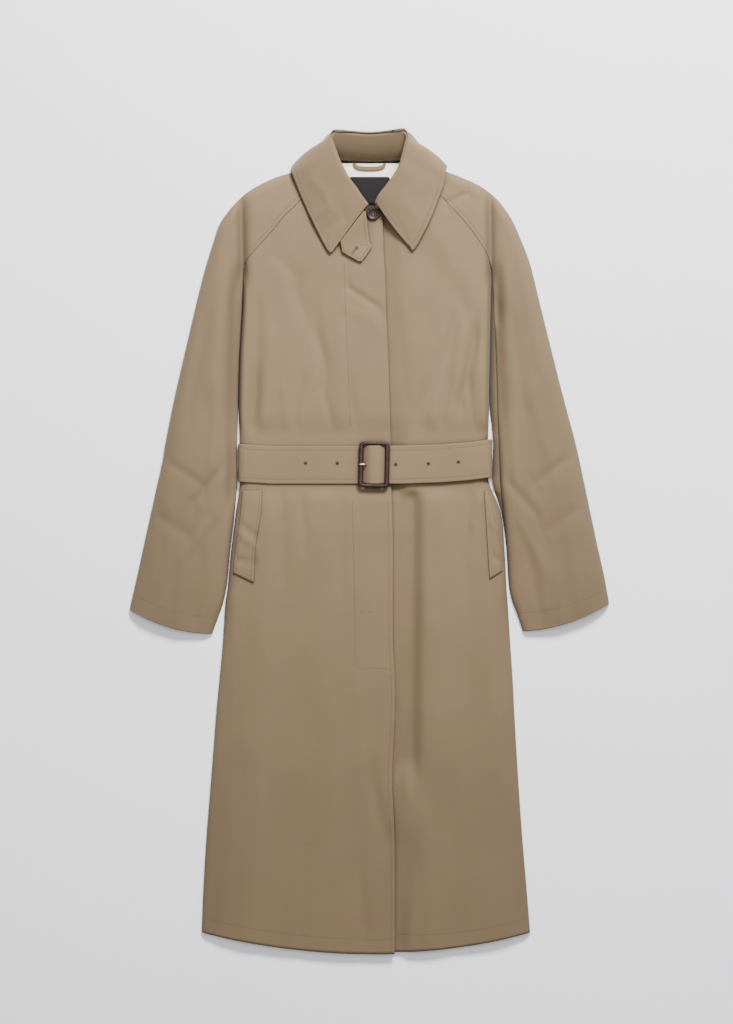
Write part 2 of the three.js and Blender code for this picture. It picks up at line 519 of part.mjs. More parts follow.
const beltFace = (out) => (i, j) => {
  const end = BELT_PATH.length - 1;
  const [p, a, b] = [BELT_PATH[j], BELT_PATH[Math.max(0, j - 1)], BELT_PATH[Math.min(end, j + 1)]];
  const unit = (v) => v.map((c) => c / Math.hypot(...v));
  const before = j > 0 ? unit([p[0] - a[0], p[1] - a[1]]) : null;
  const after = j < end ? unit([b[0] - p[0], b[1] - p[1]]) : null;
  const [u0, u1] = [before ?? after, after ?? before];
  const n = unit([-(u0[1] + u1[1]), u0[0] + u1[0]]);
  const stretch = 1 / Math.max(0.6, n[0] * -u1[1] + n[1] * u1[0]);
  const half = (out * BELT_CLOTH * stretch) / 2;
  return [p[0] + n[0] * half, along(BELT_MIDDLE, p[0]) + (i - 0.5) * BELT_WIDTH, p[1] + n[1] * half];
};
const PRONG_PATH = [[-0.6, 15.7], [-2.8, 15.9], [-4.6, 18], [-6, 21], [-8.4, 23.4], [-15.2, 23.5]]
  .map(([x, z]) => [x, BUCKLE.y + 0.3, z]);
const strap = solid(wall('strap', 1, BELT_PATH.length - 1, beltFace(1), beltFace(-1), CLOTH_LOOK).geometry);
coat.add(meshOf('belt_strap', strap.subtract(solid(rod(PRONG_PATH, PRONG / 2 + GAP + 0.2))), CLOTH_LOOK));
coat.add(meshOf('buckle_prong', solid(rod(PRONG_PATH, PRONG / 2)), METAL_LOOK));

// Buckle: a rounded frame with a centre bar that stands lower, on two short posts
function roundedRectangle(path, width, height, corner) {
  const [w, h, r] = [width / 2, height / 2, corner];
  path.moveTo(-w + r, -h);
  path.lineTo(w - r, -h);
  path.absarc(w - r, -h + r, r, -Math.PI / 2, 0, false);
  path.lineTo(w, h - r);
  path.absarc(w - r, h - r, r, 0, Math.PI / 2, false);
  path.lineTo(-w + r, h);
  path.absarc(-w + r, h - r, r, Math.PI / 2, Math.PI, false);
  path.lineTo(-w, -h + r);
  path.absarc(-w + r, -h + r, r, Math.PI, Math.PI * 1.5, false);
  return path;
}
const outline = roundedRectangle(new THREE.Shape(), BUCKLE.width, BUCKLE.height, BUCKLE.corner);
outline.holes.push(roundedRectangle(new THREE.Path(), BUCKLE.width - 2 * BUCKLE.bar,
  BUCKLE.height - 2 * BUCKLE.rail, 1.2));
const frame = new THREE.ExtrudeGeometry(outline, { depth: BUCKLE.thick, bevelEnabled: false, curveSegments: 5 })
  .translate(0, 0, BUCKLE.z);
const box = (sx, sy, sz, x, y, z) => new THREE.BoxGeometry(sx, sy, sz).translate(x, y, z);
let buckle = solid(frame).add(solid(box(CENTRE_BAR.width, BUCKLE.height - 2, CENTRE_BAR.thick, 0, 0,
  CENTRE_BAR.z + CENTRE_BAR.thick / 2)));
const postHeight = BUCKLE.z + 1 - CENTRE_BAR.z;
for (const way of [-1, 1])
  buckle = buckle.add(solid(box(CENTRE_BAR.width, BUCKLE.rail - 1.4, postHeight, 0,
    way * (BUCKLE.height - BUCKLE.rail - 0.6) / 2, CENTRE_BAR.z + postHeight / 2)));
const buckleMesh = meshOf('belt_buckle', buckle, HARD_LOOK);
buckleMesh.position.set(BUCKLE.x, BUCKLE.y, 0);
buckleMesh.rotation.z = BUCKLE.lean;
coat.add(buckleMesh);

// Neck button: a dished disc with a rim
const BUTTON_PROFILE = [
  [0, 0], [0.86, 0], [1, 0.35], [1, 0.75], [0.88, 1], [0.68, 0.95], [0.55, 0.68], [0, 0.6],
];
const button = new THREE.LatheGeometry(
  BUTTON_PROFILE.map(([r, z]) => new THREE.Vector2((r * BUTTON.across) / 2, z * BUTTON.thick)), 24,
).rotateX(Math.PI / 2);
const buttonMesh = meshOf('neck_button', solid(button), HARD_LOOK);
buttonMesh.position.set(BUTTON.x, BUTTON.y, BUTTON.z);
coat.add(buttonMesh);

export default coat;
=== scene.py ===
# The trench coat laid flat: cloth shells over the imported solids, trims, floor, light and camera.
# Tables are in millimetres, as in the part's source; what is built is in metres.
import math

import bpy
import numpy as np
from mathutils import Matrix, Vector
from mathutils.bvhtree import BVHTree


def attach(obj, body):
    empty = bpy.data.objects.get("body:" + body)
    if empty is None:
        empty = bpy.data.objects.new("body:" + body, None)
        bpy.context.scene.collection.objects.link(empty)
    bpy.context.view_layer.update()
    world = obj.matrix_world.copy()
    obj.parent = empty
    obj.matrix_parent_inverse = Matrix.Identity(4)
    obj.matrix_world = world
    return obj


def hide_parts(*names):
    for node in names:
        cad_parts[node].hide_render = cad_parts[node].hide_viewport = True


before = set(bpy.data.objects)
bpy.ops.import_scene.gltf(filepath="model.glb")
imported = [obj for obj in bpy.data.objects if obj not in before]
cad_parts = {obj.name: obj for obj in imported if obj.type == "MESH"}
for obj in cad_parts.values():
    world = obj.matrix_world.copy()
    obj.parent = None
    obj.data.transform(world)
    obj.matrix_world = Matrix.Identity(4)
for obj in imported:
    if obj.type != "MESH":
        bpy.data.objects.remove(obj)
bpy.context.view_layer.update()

MM = 0.001
GAP = 0.35
CLOTH = 2.0
BACK_CLOTH = 1.6
LINING = 1.0
WELT = 1.3
PLACKET = 1.3
TAB = 1.6
LABEL = 0.7
LAYER_GAP = 0.7
SMALL_GAP = 0.5
BELT_WIDTH = 57
BELT_CLOTH = 2.2
UNDERLAP = CLOTH + PLACKET + 2 * LAYER_GAP
EDGE_ROLL = 16
BELT_LIFT = BELT_CLOTH + 0.5
FALL_LIFT = CLOTH + 1.3
LEAF_REST = TAB + 2 * GAP
TAB_REST = 2.5


def smooth(a, b, t):
    s = np.clip((np.asarray(t, float) - a) / (b - a), 0, 1)
    return s * s * (3 - 2 * s)


def mix(a, b, t):
    return a + (b - a) * t


def rounding(d, e):
    return np.sqrt(np.clip(1 - np.clip(1 - np.asarray(d, float) / e, 0, None) ** 2, 0, 1))


def along(rows, at):
    table = np.array(rows, float)
    return np.interp(at, table[:, 0], table[:, 1])


def curve(rows, k):
    """Points of the smooth curve through rows of numbers, at row numbers with fractions."""
    table = np.array(rows, float)
    last = len(table) - 1
    k = np.asarray(k, float)
    i = np.clip(np.floor(k).astype(int), 0, last - 1)
    t = (k - i)[..., None]
    a, b, c, d = (table[np.clip(i + n, 0, last)] for n in (-1, 0, 1, 2))
    m0, m1 = (c - a) / 2, (d - b) / 2
    return (
        (2 * t**3 - 3 * t**2 + 1) * b
        + (t**3 - 2 * t**2 + t) * m0
        + (-2 * t**3 + 3 * t**2) * c
        + (t**3 - t**2) * m1
    )


FRONT_CROWN = [
    (-617, 11), (-500, 12), (-350, 13.5), (-150, 15), (20, 16), (62, 15), (82, 12), (165, 12),
    (188, 15), (250, 16), (400, 16.5), (500, 17), (577, 15),
]
SLEEVE_CROWN = [(-137, 13), (-60, 15), (60, 18), (250, 18), (400, 17.5), (500, 16.5), (577, 13)]

# Main folds, as in the solids: x0, y0, x1, y1, half width, height
FOLDS = [
    (139, 349, 78, 200, 12, -3.5), (166, 250, 172, 190, 11, 3), (-109, 373, -64, 268, 10, -1.5),
    (-170, 230, -178, 185, 10, -3), (-189, 500, -189, 400, 9, -5), (179, 516, 182, 400, 9, -5),
]
EDGE_TROUGH = [(50, 55, 50, -320, 11, -3.6), (65, 58, 64, -320, 12, -7.6)]
# Smaller creases of the cloth: right front, then left front, from the neck down
CREASES = [
    (-32, 382, 17, 349, 5, -1.6), (-38, 352, 8, 330, 6, 0.7), (-126, 383, -124, 292, 15, 1.4),
    (-167, 345, -172, 200, 8, -2.0), (-80, 337, -66, 245, 9, -1.6), (-44, 314, -44, 196, 9, 1.0),
    (-148, 300, -158, 196, 9, 1.3), (-101, 240, -112, 188, 7, -1.4), (-128, 226, -124, 186, 6, 1.0),
    (-70, 228, -58, 188, 6, -1.2), (-30, 238, -22, 190, 6, -1.0), (-139, 430, -108, 396, 12, -1.1),
    (-71, 62, -72, -190, 30, 1.6), (-132, 60, -128, -40, 10, -1.5), (-102, 64, -96, 8, 8, -1.2),
    (-44, 60, -42, -60, 9, -1.0), (-150, 30, -160, -150, 14, 1.3), (-186, -80, -204, -330, 14, -1.6),
    (-212, -120, -236, -560, 15, -3.0), (-120, -210, -136, -420, 22, -1.3), (-60, -260, -58, -470, 20, 1.2),
    (-170, -380, -186, -580, 16, 1.2), (-14, -230, -8, -352, 12, 1.0), (3, -356, 22, -438, 11, -2.2),
    (-16, -503, -6, -586, 11, -1.5), (-96, -470, -104, -590, 12, -1.0),
    (116, 508, 146, 523, 4.5, -1.6), (94, 470, 152, 384, 22, 1.8), (137, 316, 134, 246, 10, 1.8),
    (158, 304, 137, 210, 8, -3.0), (70, 380, 58, 300, 14, 1.2), (112, 300, 92, 196, 9, 1.6),
    (52, 296, 56, 190, 9, -1.2), (118, 242, 108, 188, 6, -1.6), (150, 236, 154, 184, 5, -1.2),
    (86, 246, 80, 186, 6, 1.1), (168, 350, 166, 290, 8, 1.2), (100, 420, 84, 352, 10, -1.0),
    (107, 60, 116, -24, 18, 2.2), (150, 60, 142, -30, 10, -1.6), (84, 62, 86, -110, 12, 1.4),
    (44, -338, 46, -362, 9, -2.0), (50, -380, 48, -412, 12, 1.6), (62, -470, 46, -588, 12, -2.2),
    (98, -90, 104, -330, 20, 1.2), (140, -80, 148, -300, 18, -1.2), (180, -110, 190, -330, 16, 1.2),
    (202, -120, 224, -560, 14, -3.0), (118, -350, 128, -580, 20, -1.2), (168, -330, 180, -570, 16, 1.1),
    (82, -420, 92, -590, 12, 1.3),
    (-193, 507, -190, 404, 5.5, -4.4), (-201, 500, -198, 412, 9, -1.6), (180.5, 517, 181.5, 404, 5, -3.8),
    (189, 512, 190, 412, 9, -1.6),
    (-193, 26, -171, 12, 4.5, -1.6), (-190, 8, -170, -4, 4, 1.2), (-198, -26, -172, -30, 4, -1.4),
    (186, -22, 200, -28, 4, -1.4), (182, 30, 190, 20, 4, 1.0), (168, 78, 154, 34, 6, 1.6),
]
CREASE_DEPTH = 1.2  # all the smaller creases are so much deeper than their tables say
# Creases of the back, which rise off the surface it lies on
BACK_CREASES = [
    (-120, 430, -60, 300, 16, 1.6), (110, 440, 70, 290, 14, 1.5), (0, 470, 4, 260, 12, 1.4),
    (-70, 250, -90, 190, 9, 1.2), (60, 248, 84, 192, 9, 1.3), (-120, 50, -140, -160, 14, 1.7),
    (96, 46, 110, -190, 13, 1.6), (-20, 40, -10, -230, 15, 1.5), (-60, -250, -80, -520, 18, 1.8),
    (60, -280, 74, -540, 16, 1.7), (150, -230, 165, -500, 12, 1.4), (-160, -260, -176, -510, 12, 1.5),
]


BELT_BAND = (66, 84, 160, 178)
BELT_REACH = (-197.7, 187)
# Where the back rises over the collar's fall: along Y, and outward along X
FALL_Y = (492, 512)
FALL_X = (118, 136)


# Right sleeve from the shoulder down, then the left one
SLEEVE_CREASES = [
    (-199, 425, -205, 80, 10, -8.5), (-195, 407, -196, 383, 4, -2.5), (-213, 487, -236, 245, 13, 2.2),
    (-246, 330, -270, 200, 9, -1.8), (-226, 230, -236, 120, 8, 1.6), (-262, 180, -300, 60, 12, 1.6),
    (-222, 110, -262, 60, 7, -1.8), (-300, 120, -248, 84, 8, -1.5), (-318, 40, -270, 10, 9, -1.4),
    (-232, 40, -280, -20, 8, 1.4), (-300, 0, -312, -90, 12, 1.4), (-250, -30, -262, -104, 8, -1.5),
    (-336, -40, -346, -92, 7, -1.2), (-282, -60, -288, -116, 7, 1.0),
    (190, 505, 192, 345, 8, -6.0), (190, 340, 197, 200, 8, -4.0), (232, 420, 262, 250, 14, 1.8),
    (214, 330, 232, 200, 9, -1.6), (246, 220, 280, 90, 12, 1.7), (212, 180, 220, 90, 8, 1.3),
    (300, 130, 250, 90, 8, -1.6), (208, 90, 252, 40, 7, -1.7), (312, 50, 262, 16, 9, -1.3),
    (226, 30, 262, -40, 8, 1.3), (300, 10, 316, -86, 12, 1.4), (240, -30, 256, -106, 8, -1.4),
    (336, -30, 342, -84, 7, -1.2), (282, -56, 288, -112, 7, 1.0),
]
# Creases under the sleeves, as the left one has them; the right one's lie two middles further left
SLEEVE_BACK_CREASES = [(262, 150, 290, 40, 9, 1.2), (300, 20, 316, -70, 8, 1.1), (268, 10, 276, -80, 7, 1.0)]
SLEEVE_MIDDLE = 300
SLEEVE_NEAR = 215
INNER_DROP = 5


def in_belt(y):
    return smooth(*BELT_BAND[:2], y) * (1 - smooth(*BELT_BAND[2:], y))


def folds(x, y, rows=None, belt=True):
    z = np.zeros(np.broadcast(x, y).shape)
    deeper = [(*row[:5], row[5] * CREASE_DEPTH) for row in (CREASES if rows is None else rows)]
    for x0, y0, x1, y1, half, high in (FOLDS if rows is None else []) + deeper:
        dx, dy = x1 - x0, y1 - y0
        t = np.clip(((x - x0) * dx + (y - y0) * dy) / (dx * dx + dy * dy), 0, 1)
        off = np.where((t > 0) & (t < 1), 1, 0.35)
        far = np.hypot(x - x0 - t * dx, (y - y0 - t * dy) * off)
        z = z + high * np.exp(-((far / half) ** 2))
    return z * (1 - in_belt(y)) if belt else z


def lift(x, y):
    over_belt = np.where((x > BELT_REACH[0]) & (x < BELT_REACH[1]), BELT_LIFT * in_belt(y), 0)
    return over_belt + FALL_LIFT * smooth(*FALL_Y, y) * (1 - smooth(*FALL_X, np.abs(x)))


def back_top(x, y):
    return BACK_CLOTH + lift(x, y)


def creased_back(x, y):
    return back_top(x, y) + folds(x, y, BACK_CREASES) * (1 - smooth(130, 175, np.abs(x)) * (y > -150))


# Outlines as X, Y rows from the neck down; the rows of the side seams and sleeves share their Y
BODY_Y = [401, 379, 346, 277, 208, 154, 119, 88, 43, -14, -64, -91, -146, -206, -255, -350, -437, -521, -584]
EDGE_Y = [466, 439, 412, 383, *BODY_Y[2:16], -439, -529]
RIGHT_SEAM = [
    (-67, 559), (-86, 535), (-107, 508), (-128, 487), (-146, 465), (-166, 443), (-184, 422), *zip([
        -189, -189, -190, -194, -195.5, -194, -194, -194, -200.5, -207.5, -212, -216, -219.5, -225, -229.6,
        -237, -244, -249, -251.5,
    ], BODY_Y),
]
LEFT_SEAM = [
    (67, 559), (86, 538), (109, 516), (127, 497), (143, 479), (164, 451), (178, 426), *zip([
        182, 181.5, 181, 179.5, 178.5, 178, 178, 178.4, 197.5, 203, 205.5, 207.5, 211, 215, 217.5, 223, 229,
        236, 241,
    ], [92 if y == 88 else y for y in BODY_Y]),
]
FRONT_EDGE = [
    (-59, 548), (-49, 527), (-32, 509), (-11, 499), (16, 493), *zip([
        20, 21, 22.5, 24, 25, 28, 30, 31.5, 32, 32.5, 34, 35, 35, 35, 35, 38, 38, 34, 37.5, 38,
    ], EDGE_Y), (37.5, -616),
]
UNDER_EDGE = [
    (59, 548), (49, 527), (32, 509), (13, 499), (-20, 488), *zip([
        -25, -25, -25, -25, -24, -22, -20, -19, -18, -18, -17, -16, -16, -16, -15, -13, -13, -14, -12, -12,
    ], EDGE_Y), (-12, -613),
]
RIGHT_OUTER = [
    (-73, 577), (-93, 565), (-112, 556), (-142, 547), (-176, 530), (-199, 511), (-223, 481), (-234, 451),
    (-246, 412), (-258, 365), (-277, 284), (-293, 214), (-305, 154), (-311, 119), (-318, 88), (-328, 43),
    (-340, -12), (-349, -53), (-355, -79), (-358, -92), (-359.3, -101),
]
RIGHT_INNER = [
    (-67.5, 559.5), (-86.5, 535.5), (-107.5, 508.5), (-128.5, 487.5), (-146.5, 465.5), (-166.6, 443.4),
    (-184.8, 422), *zip([
        -189.7, -189.7, -190.7, -194.7, -196.6, -198.2, -198.2, -198.2, -202, -208.7,
    ], BODY_Y), (-213.2, -60), (-219, -90), (-227, -113), (-235.5, -136.5),
]
LEFT_OUTER = [
    (73, 577), (93, 565), (112, 557), (137, 548), (166, 534.5), (191, 515), (212, 487), (226, 457),
    (241, 418), (254, 366), (273, 289), (292, 214), (308, 154), (316, 119), (322.5, 88), (332, 43),
    (343.5, -11), (352, -49), (356, -71), (358.2, -83), (359.3, -91.4),
]
LEFT_INNER = [
    (67.5, 559.5), (86.5, 538.5), (109.4, 516.5), (127.4, 497.5), (143.5, 479.5), (164.6, 451.4), (178.9, 426),
    *zip([184, 185, 187, 190, 192, 193.5, 195, 196.5, 201, 205.8], BODY_Y), (209, -62), (214, -87), (221, -106),
    (230, -133),
]
LEFT_INNER_BACK = LEFT_INNER[:7] + [
    *zip([182.7, 182.2, 181.8, 180.6, 179.9, 185.5, 184.4, 184.8, 198.4], BODY_Y),
] + LEFT_INNER[16:]
RAGLAN_ENDS = 6
HEM_SAG = [(22, 0), (25, 10)]
CUFF_SAG = [(11, 0), (20, 9)]
BACK_NECK_RISE = 10


def in_scene(name, data):
    thing = bpy.data.objects.new(name, data)
    bpy.context.scene.collection.objects.link(thing)
    return thing


def make_mesh(name, points, faces, material):
    mesh = bpy.data.meshes.new(name)
    mesh.from_pydata([tuple(p) for p in (np.asarray(points) * MM)], [], faces)
    mesh.update()
    for poly in mesh.polygons:
        poly.use_smooth = True
    mesh.materials.append(material)
    return in_scene(name, mesh)


def wall(name, outer, inner, material):
    """A closed wall between two grids of points of shape (rows, columns, 3)."""
    nv, nu = outer.shape[0] - 1, outer.shape[1] - 1
    count = (nu + 1) * (nv + 1)
    points = np.concatenate([outer.reshape(-1, 3), inner.reshape(-1, 3)])
    j, i = np.mgrid[0:nv, 0:nu]
    a = (j * (nu + 1) + i).ravel()
    b, c, d = a + 1, a + nu + 2, a + nu + 1
    faces = [tuple(f) for f in np.stack([a, d, c, b], 1).tolist()]
    faces += [tuple(f) for f in (np.stack([a, b, c, d], 1) + count).tolist()]
    for i in range(nu):
        p, q = i, i + 1
        faces.append((p, q, q + count, p + count))
        p, q = nv * (nu + 1) + i + 1, nv * (nu + 1) + i
        faces.append((p, q, q + count, p + count))
    for j in range(nv):
        p, q = (j + 1) * (nu + 1), j * (nu + 1)
        faces.append((p, q, q + count, p + count))
        p, q = j * (nu + 1) + nu, (j + 1) * (nu + 1) + nu
        faces.append((p, q, q + count, p + count))
    v = outer
    normal = np.cross(v[1:, :-1] - v[:-1, :-1], v[:-1, 1:] - v[:-1, :-1]).reshape(-1, 3)
    away = (outer - inner)[:-1, :-1].reshape(-1, 3)
    if float((normal * away).sum()) < 0:
        faces = [f[::-1] for f in faces]
    return make_mesh(name, points, faces, material)


def level(k):
    return np.zeros_like(k)


def panel(
    name, material, left, right, rows, top, low=back_top, thick=CLOTH, drop_left=level, drop_right=level,
    roll_left=((0, EDGE_ROLL),), roll_right=((0, EDGE_ROLL),), sag=level, fine=10, middle=60, round_columns=9,
):
    """A wall between two outlines, rounded down at its sides, with rows from the neck down."""
    k = np.linspace(rows[0], rows[1], (rows[1] - rows[0]) * fine + 1)
    a, b = curve(left, k), curve(right, k)
    w = np.hypot(*(b - a).T)
    u = (b - a) / w[:, None]
    dl, dr = drop_left(k), drop_right(k)
    e_l, e_r = (np.minimum(along(roll, k), w * 0.32) for roll in (roll_left, roll_right))
    bend = 1 - np.cos(np.linspace(0, math.pi / 2, round_columns))

    def face(inset):
        span = w - inset * (dl + dr)
        s_left = e_l[:, None] * bend
        s_right = span[:, None] - e_r[:, None] * bend[::-1]
        t = np.linspace(0, 1, middle + 2)[1:-1]
        s_mid = e_l[:, None] + (span - e_l - e_r)[:, None] * t
        s = np.concatenate([s_left, s_mid, s_right], 1)
        bow = sag(k)[:, None] * 4 * (s / span[:, None]) * (1 - s / span[:, None])
        start = (inset * dl)[:, None]
        x = a[:, :1] + u[:, :1] * (start + s)
        y = a[:, 1:] + u[:, 1:] * (start + s) - bow
        edge = low(x, y) + GAP
        round_l = 1 - dl[:, None] * (1 - rounding(s, e_l[:, None]))
        round_r = 1 - dr[:, None] * (1 - rounding(span[:, None] - s, e_r[:, None]))
        z = edge + (top(x, y, k[:, None], s / span[:, None]) - inset - edge) * round_l * round_r
        return np.stack([x, y, z], -1)

    return wall(name, face(0), face(thick), material)


def patch(name, material, left, right, under, thick, fine=10, columns=24):
    """A wall of even thickness on a face, between two outlines."""
    k = np.linspace(0, len(left) - 1, (len(left) - 1) * fine + 1)
    a, b = curve(left, k)[:, None, :], curve(right, k)[:, None, :]
    u = np.linspace(0, 1, columns + 1)[None, :, None]
    xy = mix(a, b, u)
    x, y = xy[..., 0], xy[..., 1]
    low = under(x, y)
    return wall(name, np.stack([x, y, low + thick], -1), np.stack([x, y, low], -1), material)


# Materials
def new_material(name, colour, roughness, metallic=0.0, sheen=0.0):
    material = bpy.data.materials.new(name)
    material.use_nodes = True
    shader = material.node_tree.nodes["Principled BSDF"]
    shader.inputs["Base Color"].default_value = (*colour, 1)
    shader.inputs["Roughness"].default_value = roughness
    shader.inputs["Metallic"].default_value = metallic
    shader.inputs["Sheen Weight"].default_value = sheen
    return material, shader


def noise(tree, place, scale, detail=3):
    node = tree.nodes.new("ShaderNodeTexNoise")
    node.inputs["Scale"].default_value = scale
    node.inputs["Detail"].default_value = detail
    tree.links.new(place, node.inputs["Vector"])
    return node.outputs["Fac"]


def ramp(tree, factor, stops):
    node = tree.nodes.new("ShaderNodeValToRGB")
    for _ in stops[2:]:
        node.color_ramp.elements.new(0.5)
    for element, (position, colour) in zip(node.color_ramp.elements, stops):
        element.position = position
        element.color = (*colour, 1)
    tree.links.new(factor, node.inputs["Fac"])
    return node.outputs["Color"]


def blend_values(tree, share, a, b):
    node = tree.nodes.new("ShaderNodeMix")
    node.inputs[0].default_value = share
    tree.links.new(a, node.inputs[2])
    tree.links.new(b, node.inputs[3])
    return node.outputs[0]


def relief(tree, height, strength, distance, shader):
    node = tree.nodes.new("ShaderNodeBump")
    node.inputs["Strength"].default_value = strength
    node.inputs["Distance"].default_value = distance
    tree.links.new(height, node.inputs["Height"])
    tree.links.new(node.outputs["Normal"], shader.inputs["Normal"])


def multiply_colours(tree, a, b):
    node = tree.nodes.new("ShaderNodeMix")
    node.data_type = "RGBA"
    node.blend_type = "MULTIPLY"
    node.inputs[0].default_value = 1
    tree.links.new(a, node.inputs[6])
    tree.links.new(b, node.inputs[7])
    return node.outputs[2]


# Painted shade, in metres: where the darkening painted into the cloth's colour is whole and where it is gone,
# along Y towards the hem, and outward along X towards the outer sides; the sides' last number is how dark they go
HEM_PAINTED_SHADE = (-0.38, 0.16)
SIDE_PAINTED_SHADE = (0.29, 0.16, 0.80)
PAINTED_SHADE_REACH = 0.045  # painted shade: the cloth's colour darkens where other cloth stands so near
HOLLOW_PAINTED_SHADE = (0.13, 0.10, 0.075)


def cloth_material(name, dark, light, ribs=1100.0, bump=0.25, slant=0.8, roughness=0.84, painted_shade=1.0):
    """Slanted fine ribs, grain and slow drifts of tone; with a share below one, shade is painted into the colour:
    darker towards the hem, the outer sides and the hollows near other cloth.
    """
    material, shader = new_material(name, light, roughness, sheen=0.12)
    tree = material.node_tree
    place = tree.nodes.new("ShaderNodeTexCoord").outputs["Object"]
    turn = tree.nodes.new("ShaderNodeMapping")
    turn.inputs["Rotation"].default_value = (0, 0, slant)
    tree.links.new(place, turn.inputs["Vector"])
    rib = tree.nodes.new("ShaderNodeTexWave")
    rib.inputs["Scale"].default_value = ribs / 6.283
    rib.inputs["Distortion"].default_value = 1.2
    rib.inputs["Detail"].default_value = 2
    tree.links.new(turn.outputs["Vector"], rib.inputs["Vector"])
    grain = noise(tree, place, 900, 4)
    drift = noise(tree, place, 11, 5)
    warmth = noise(tree, place, 6, 2)
    tone = blend_values(tree, 0.45, grain, drift)
    colour = ramp(tree, tone, [(0.32, dark), (0.68, light)])
    tint = ramp(tree, warmth, [(0.35, (0.975, 1.0, 0.955)), (0.65, (1.0, 0.970, 0.965))])
    colour = multiply_colours(tree, colour, tint)
    if painted_shade < 1:
        parts = tree.nodes.new("ShaderNodeSeparateXYZ")
        tree.links.new(place, parts.inputs[0])
        outward = tree.nodes.new("ShaderNodeMath")
        outward.operation = "ABSOLUTE"
        tree.links.new(parts.outputs[0], outward.inputs[0])
        # Painted shade: the colour darkens along Y towards the hem, and outward along X towards the sleeves' outer
        # sides
        for source, far, near, share in (
            (parts.outputs[1], HEM_PAINTED_SHADE[0], HEM_PAINTED_SHADE[1], painted_shade), (outward.outputs[0], *SIDE_PAINTED_SHADE),
        ):
            share_of_way = tree.nodes.new("ShaderNodeMapRange")
            share_of_way.inputs["From Min"].default_value = far
            share_of_way.inputs["From Max"].default_value = near
            tree.links.new(source, share_of_way.inputs[0])
            deeper = ramp(tree, share_of_way.outputs[0], [(0, (share, share, share * 0.98)), (1, (1, 1, 1))])
            colour = multiply_colours(tree, colour, deeper)
        # Painted shade: ambient occlusion darkens the base colour wherever other cloth stands within reach, as in
        # folds, gaps and under raised edges
        painted_hollow_shade = tree.nodes.new("ShaderNodeAmbientOcclusion")
        painted_hollow_shade.samples = 6
        painted_hollow_shade.inputs["Distance"].default_value = PAINTED_SHADE_REACH
        shade = ramp(tree, painted_hollow_shade.outputs["AO"], [(0.24, HOLLOW_PAINTED_SHADE), (0.93, (1, 1, 1))])
        colour = multiply_colours(tree, colour, shade)
    tree.links.new(colour, shader.inputs["Base Color"])
    height = tree.nodes.new("ShaderNodeMath")
    height.operation = "ADD"
    tree.links.new(rib.outputs["Fac"], height.inputs[0])
    tree.links.new(grain, height.inputs[1])
    relief(tree, height.outputs[0], bump, 0.0004, shader)
    return material


def speckled(name, dark, light, scale, roughness, metallic=0.0, bump=0.05, coat=0.0):
    """A hard or thread finish: mottled tone with fine relief."""
    material, shader = new_material(name, light, roughness, metallic)
    shader.inputs["Coat Weight"].default_value = coat
    tree = material.node_tree
    place = tree.nodes.new("ShaderNodeTexCoord").outputs["Object"]
    coarse = noise(tree, place, scale, 4)
    fine = noise(tree, place, scale * 9, 2)
    tone = blend_values(tree, 0.3, coarse, fine)
    tree.links.new(ramp(tree, tone, [(0.35, dark), (0.65, light)]), shader.inputs["Base Color"])
    relief(tree, fine, bump, 0.0002, shader)
    return material


# The twill's colour carries painted shade towards the hem, the outer sides and the hollows
TWILL = cloth_material("twill", (0.156, 0.103, 0.052), (0.188, 0.125, 0.065), painted_shade=0.76)
# A darker copy of the twill, as painted shade for the collar stand and hanger loop deep in the neck
TWILL_PAINTED_SHADE = cloth_material("twill_painted_shade", (0.140, 0.094, 0.049), (0.170, 0.115, 0.062))
LINING_CLOTH = cloth_material("lining", (0.90, 0.84, 0.70), (0.96, 0.91, 0.78), ribs=1600, bump=0.1,
                              roughness=0.5)
LABEL_CLOTH = cloth_material("label_weave", (0.010, 0.009, 0.010), (0.019, 0.017, 0.018), ribs=2200, slant=0)
THREAD = speckled("thread", (0.100, 0.066, 0.034), (0.132, 0.088, 0.047), 700, 0.75, bump=0.3)
LABEL_THREAD = speckled("label_thread", (0.05, 0.045, 0.045), (0.09, 0.08, 0.08), 700, 0.75, bump=0.3)
HORN = speckled("dark_horn", (0.010, 0.004, 0.003), (0.032, 0.011, 0.008), 90, 0.42, bump=0.03, coat=0.03)
for dull, gloss in ((LABEL_CLOTH, 0.12), (HORN, 0.25)):
    dull.node_tree.nodes["Principled BSDF"].inputs["Specular IOR Level"].default_value = gloss
METAL = speckled("pale_metal", (0.52, 0.47, 0.38), (0.72, 0.67, 0.57), 400, 0.32, metallic=0.9)
# Near-black colour painted as the shade inside holes: buttonhole slots and eyes, belt eyelets and button holes are
# dark shapes on the surface, not openings
PAINTED_HOLE_SHADE = speckled("hole_shade", (0.010, 0.007, 0.005), (0.022, 0.016, 0.012), 600, 0.9)


def finish_piece(piece, slot_name, *nodes):
    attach(piece, "root")
    if nodes:
        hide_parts(*nodes)
    return piece


# Panels
def front_top(x, y, *_):
    return along(FRONT_CROWN, y) + folds(x, y)


def below_raglan(k):
    return smooth(RAGLAN_ENDS - 0.01, RAGLAN_ENDS + 1, k)


FRONT_EDGE_X = [
    (-616, 37.5), (-439, 37.5), (-350, 34), (-206, 38), (-146, 35), (43, 34), (154, 31.5),
    (277, 28), (383, 24), (466, 20), (493, 16), (560, 16),
]


def covered_top(x, y, *_):
    beside = folds(x, y, EDGE_TROUGH) * smooth(30, 50, x)
    return front_top(x, y) + beside - UNDERLAP * (1 - smooth(3, 30, x - along(FRONT_EDGE_X, y)))


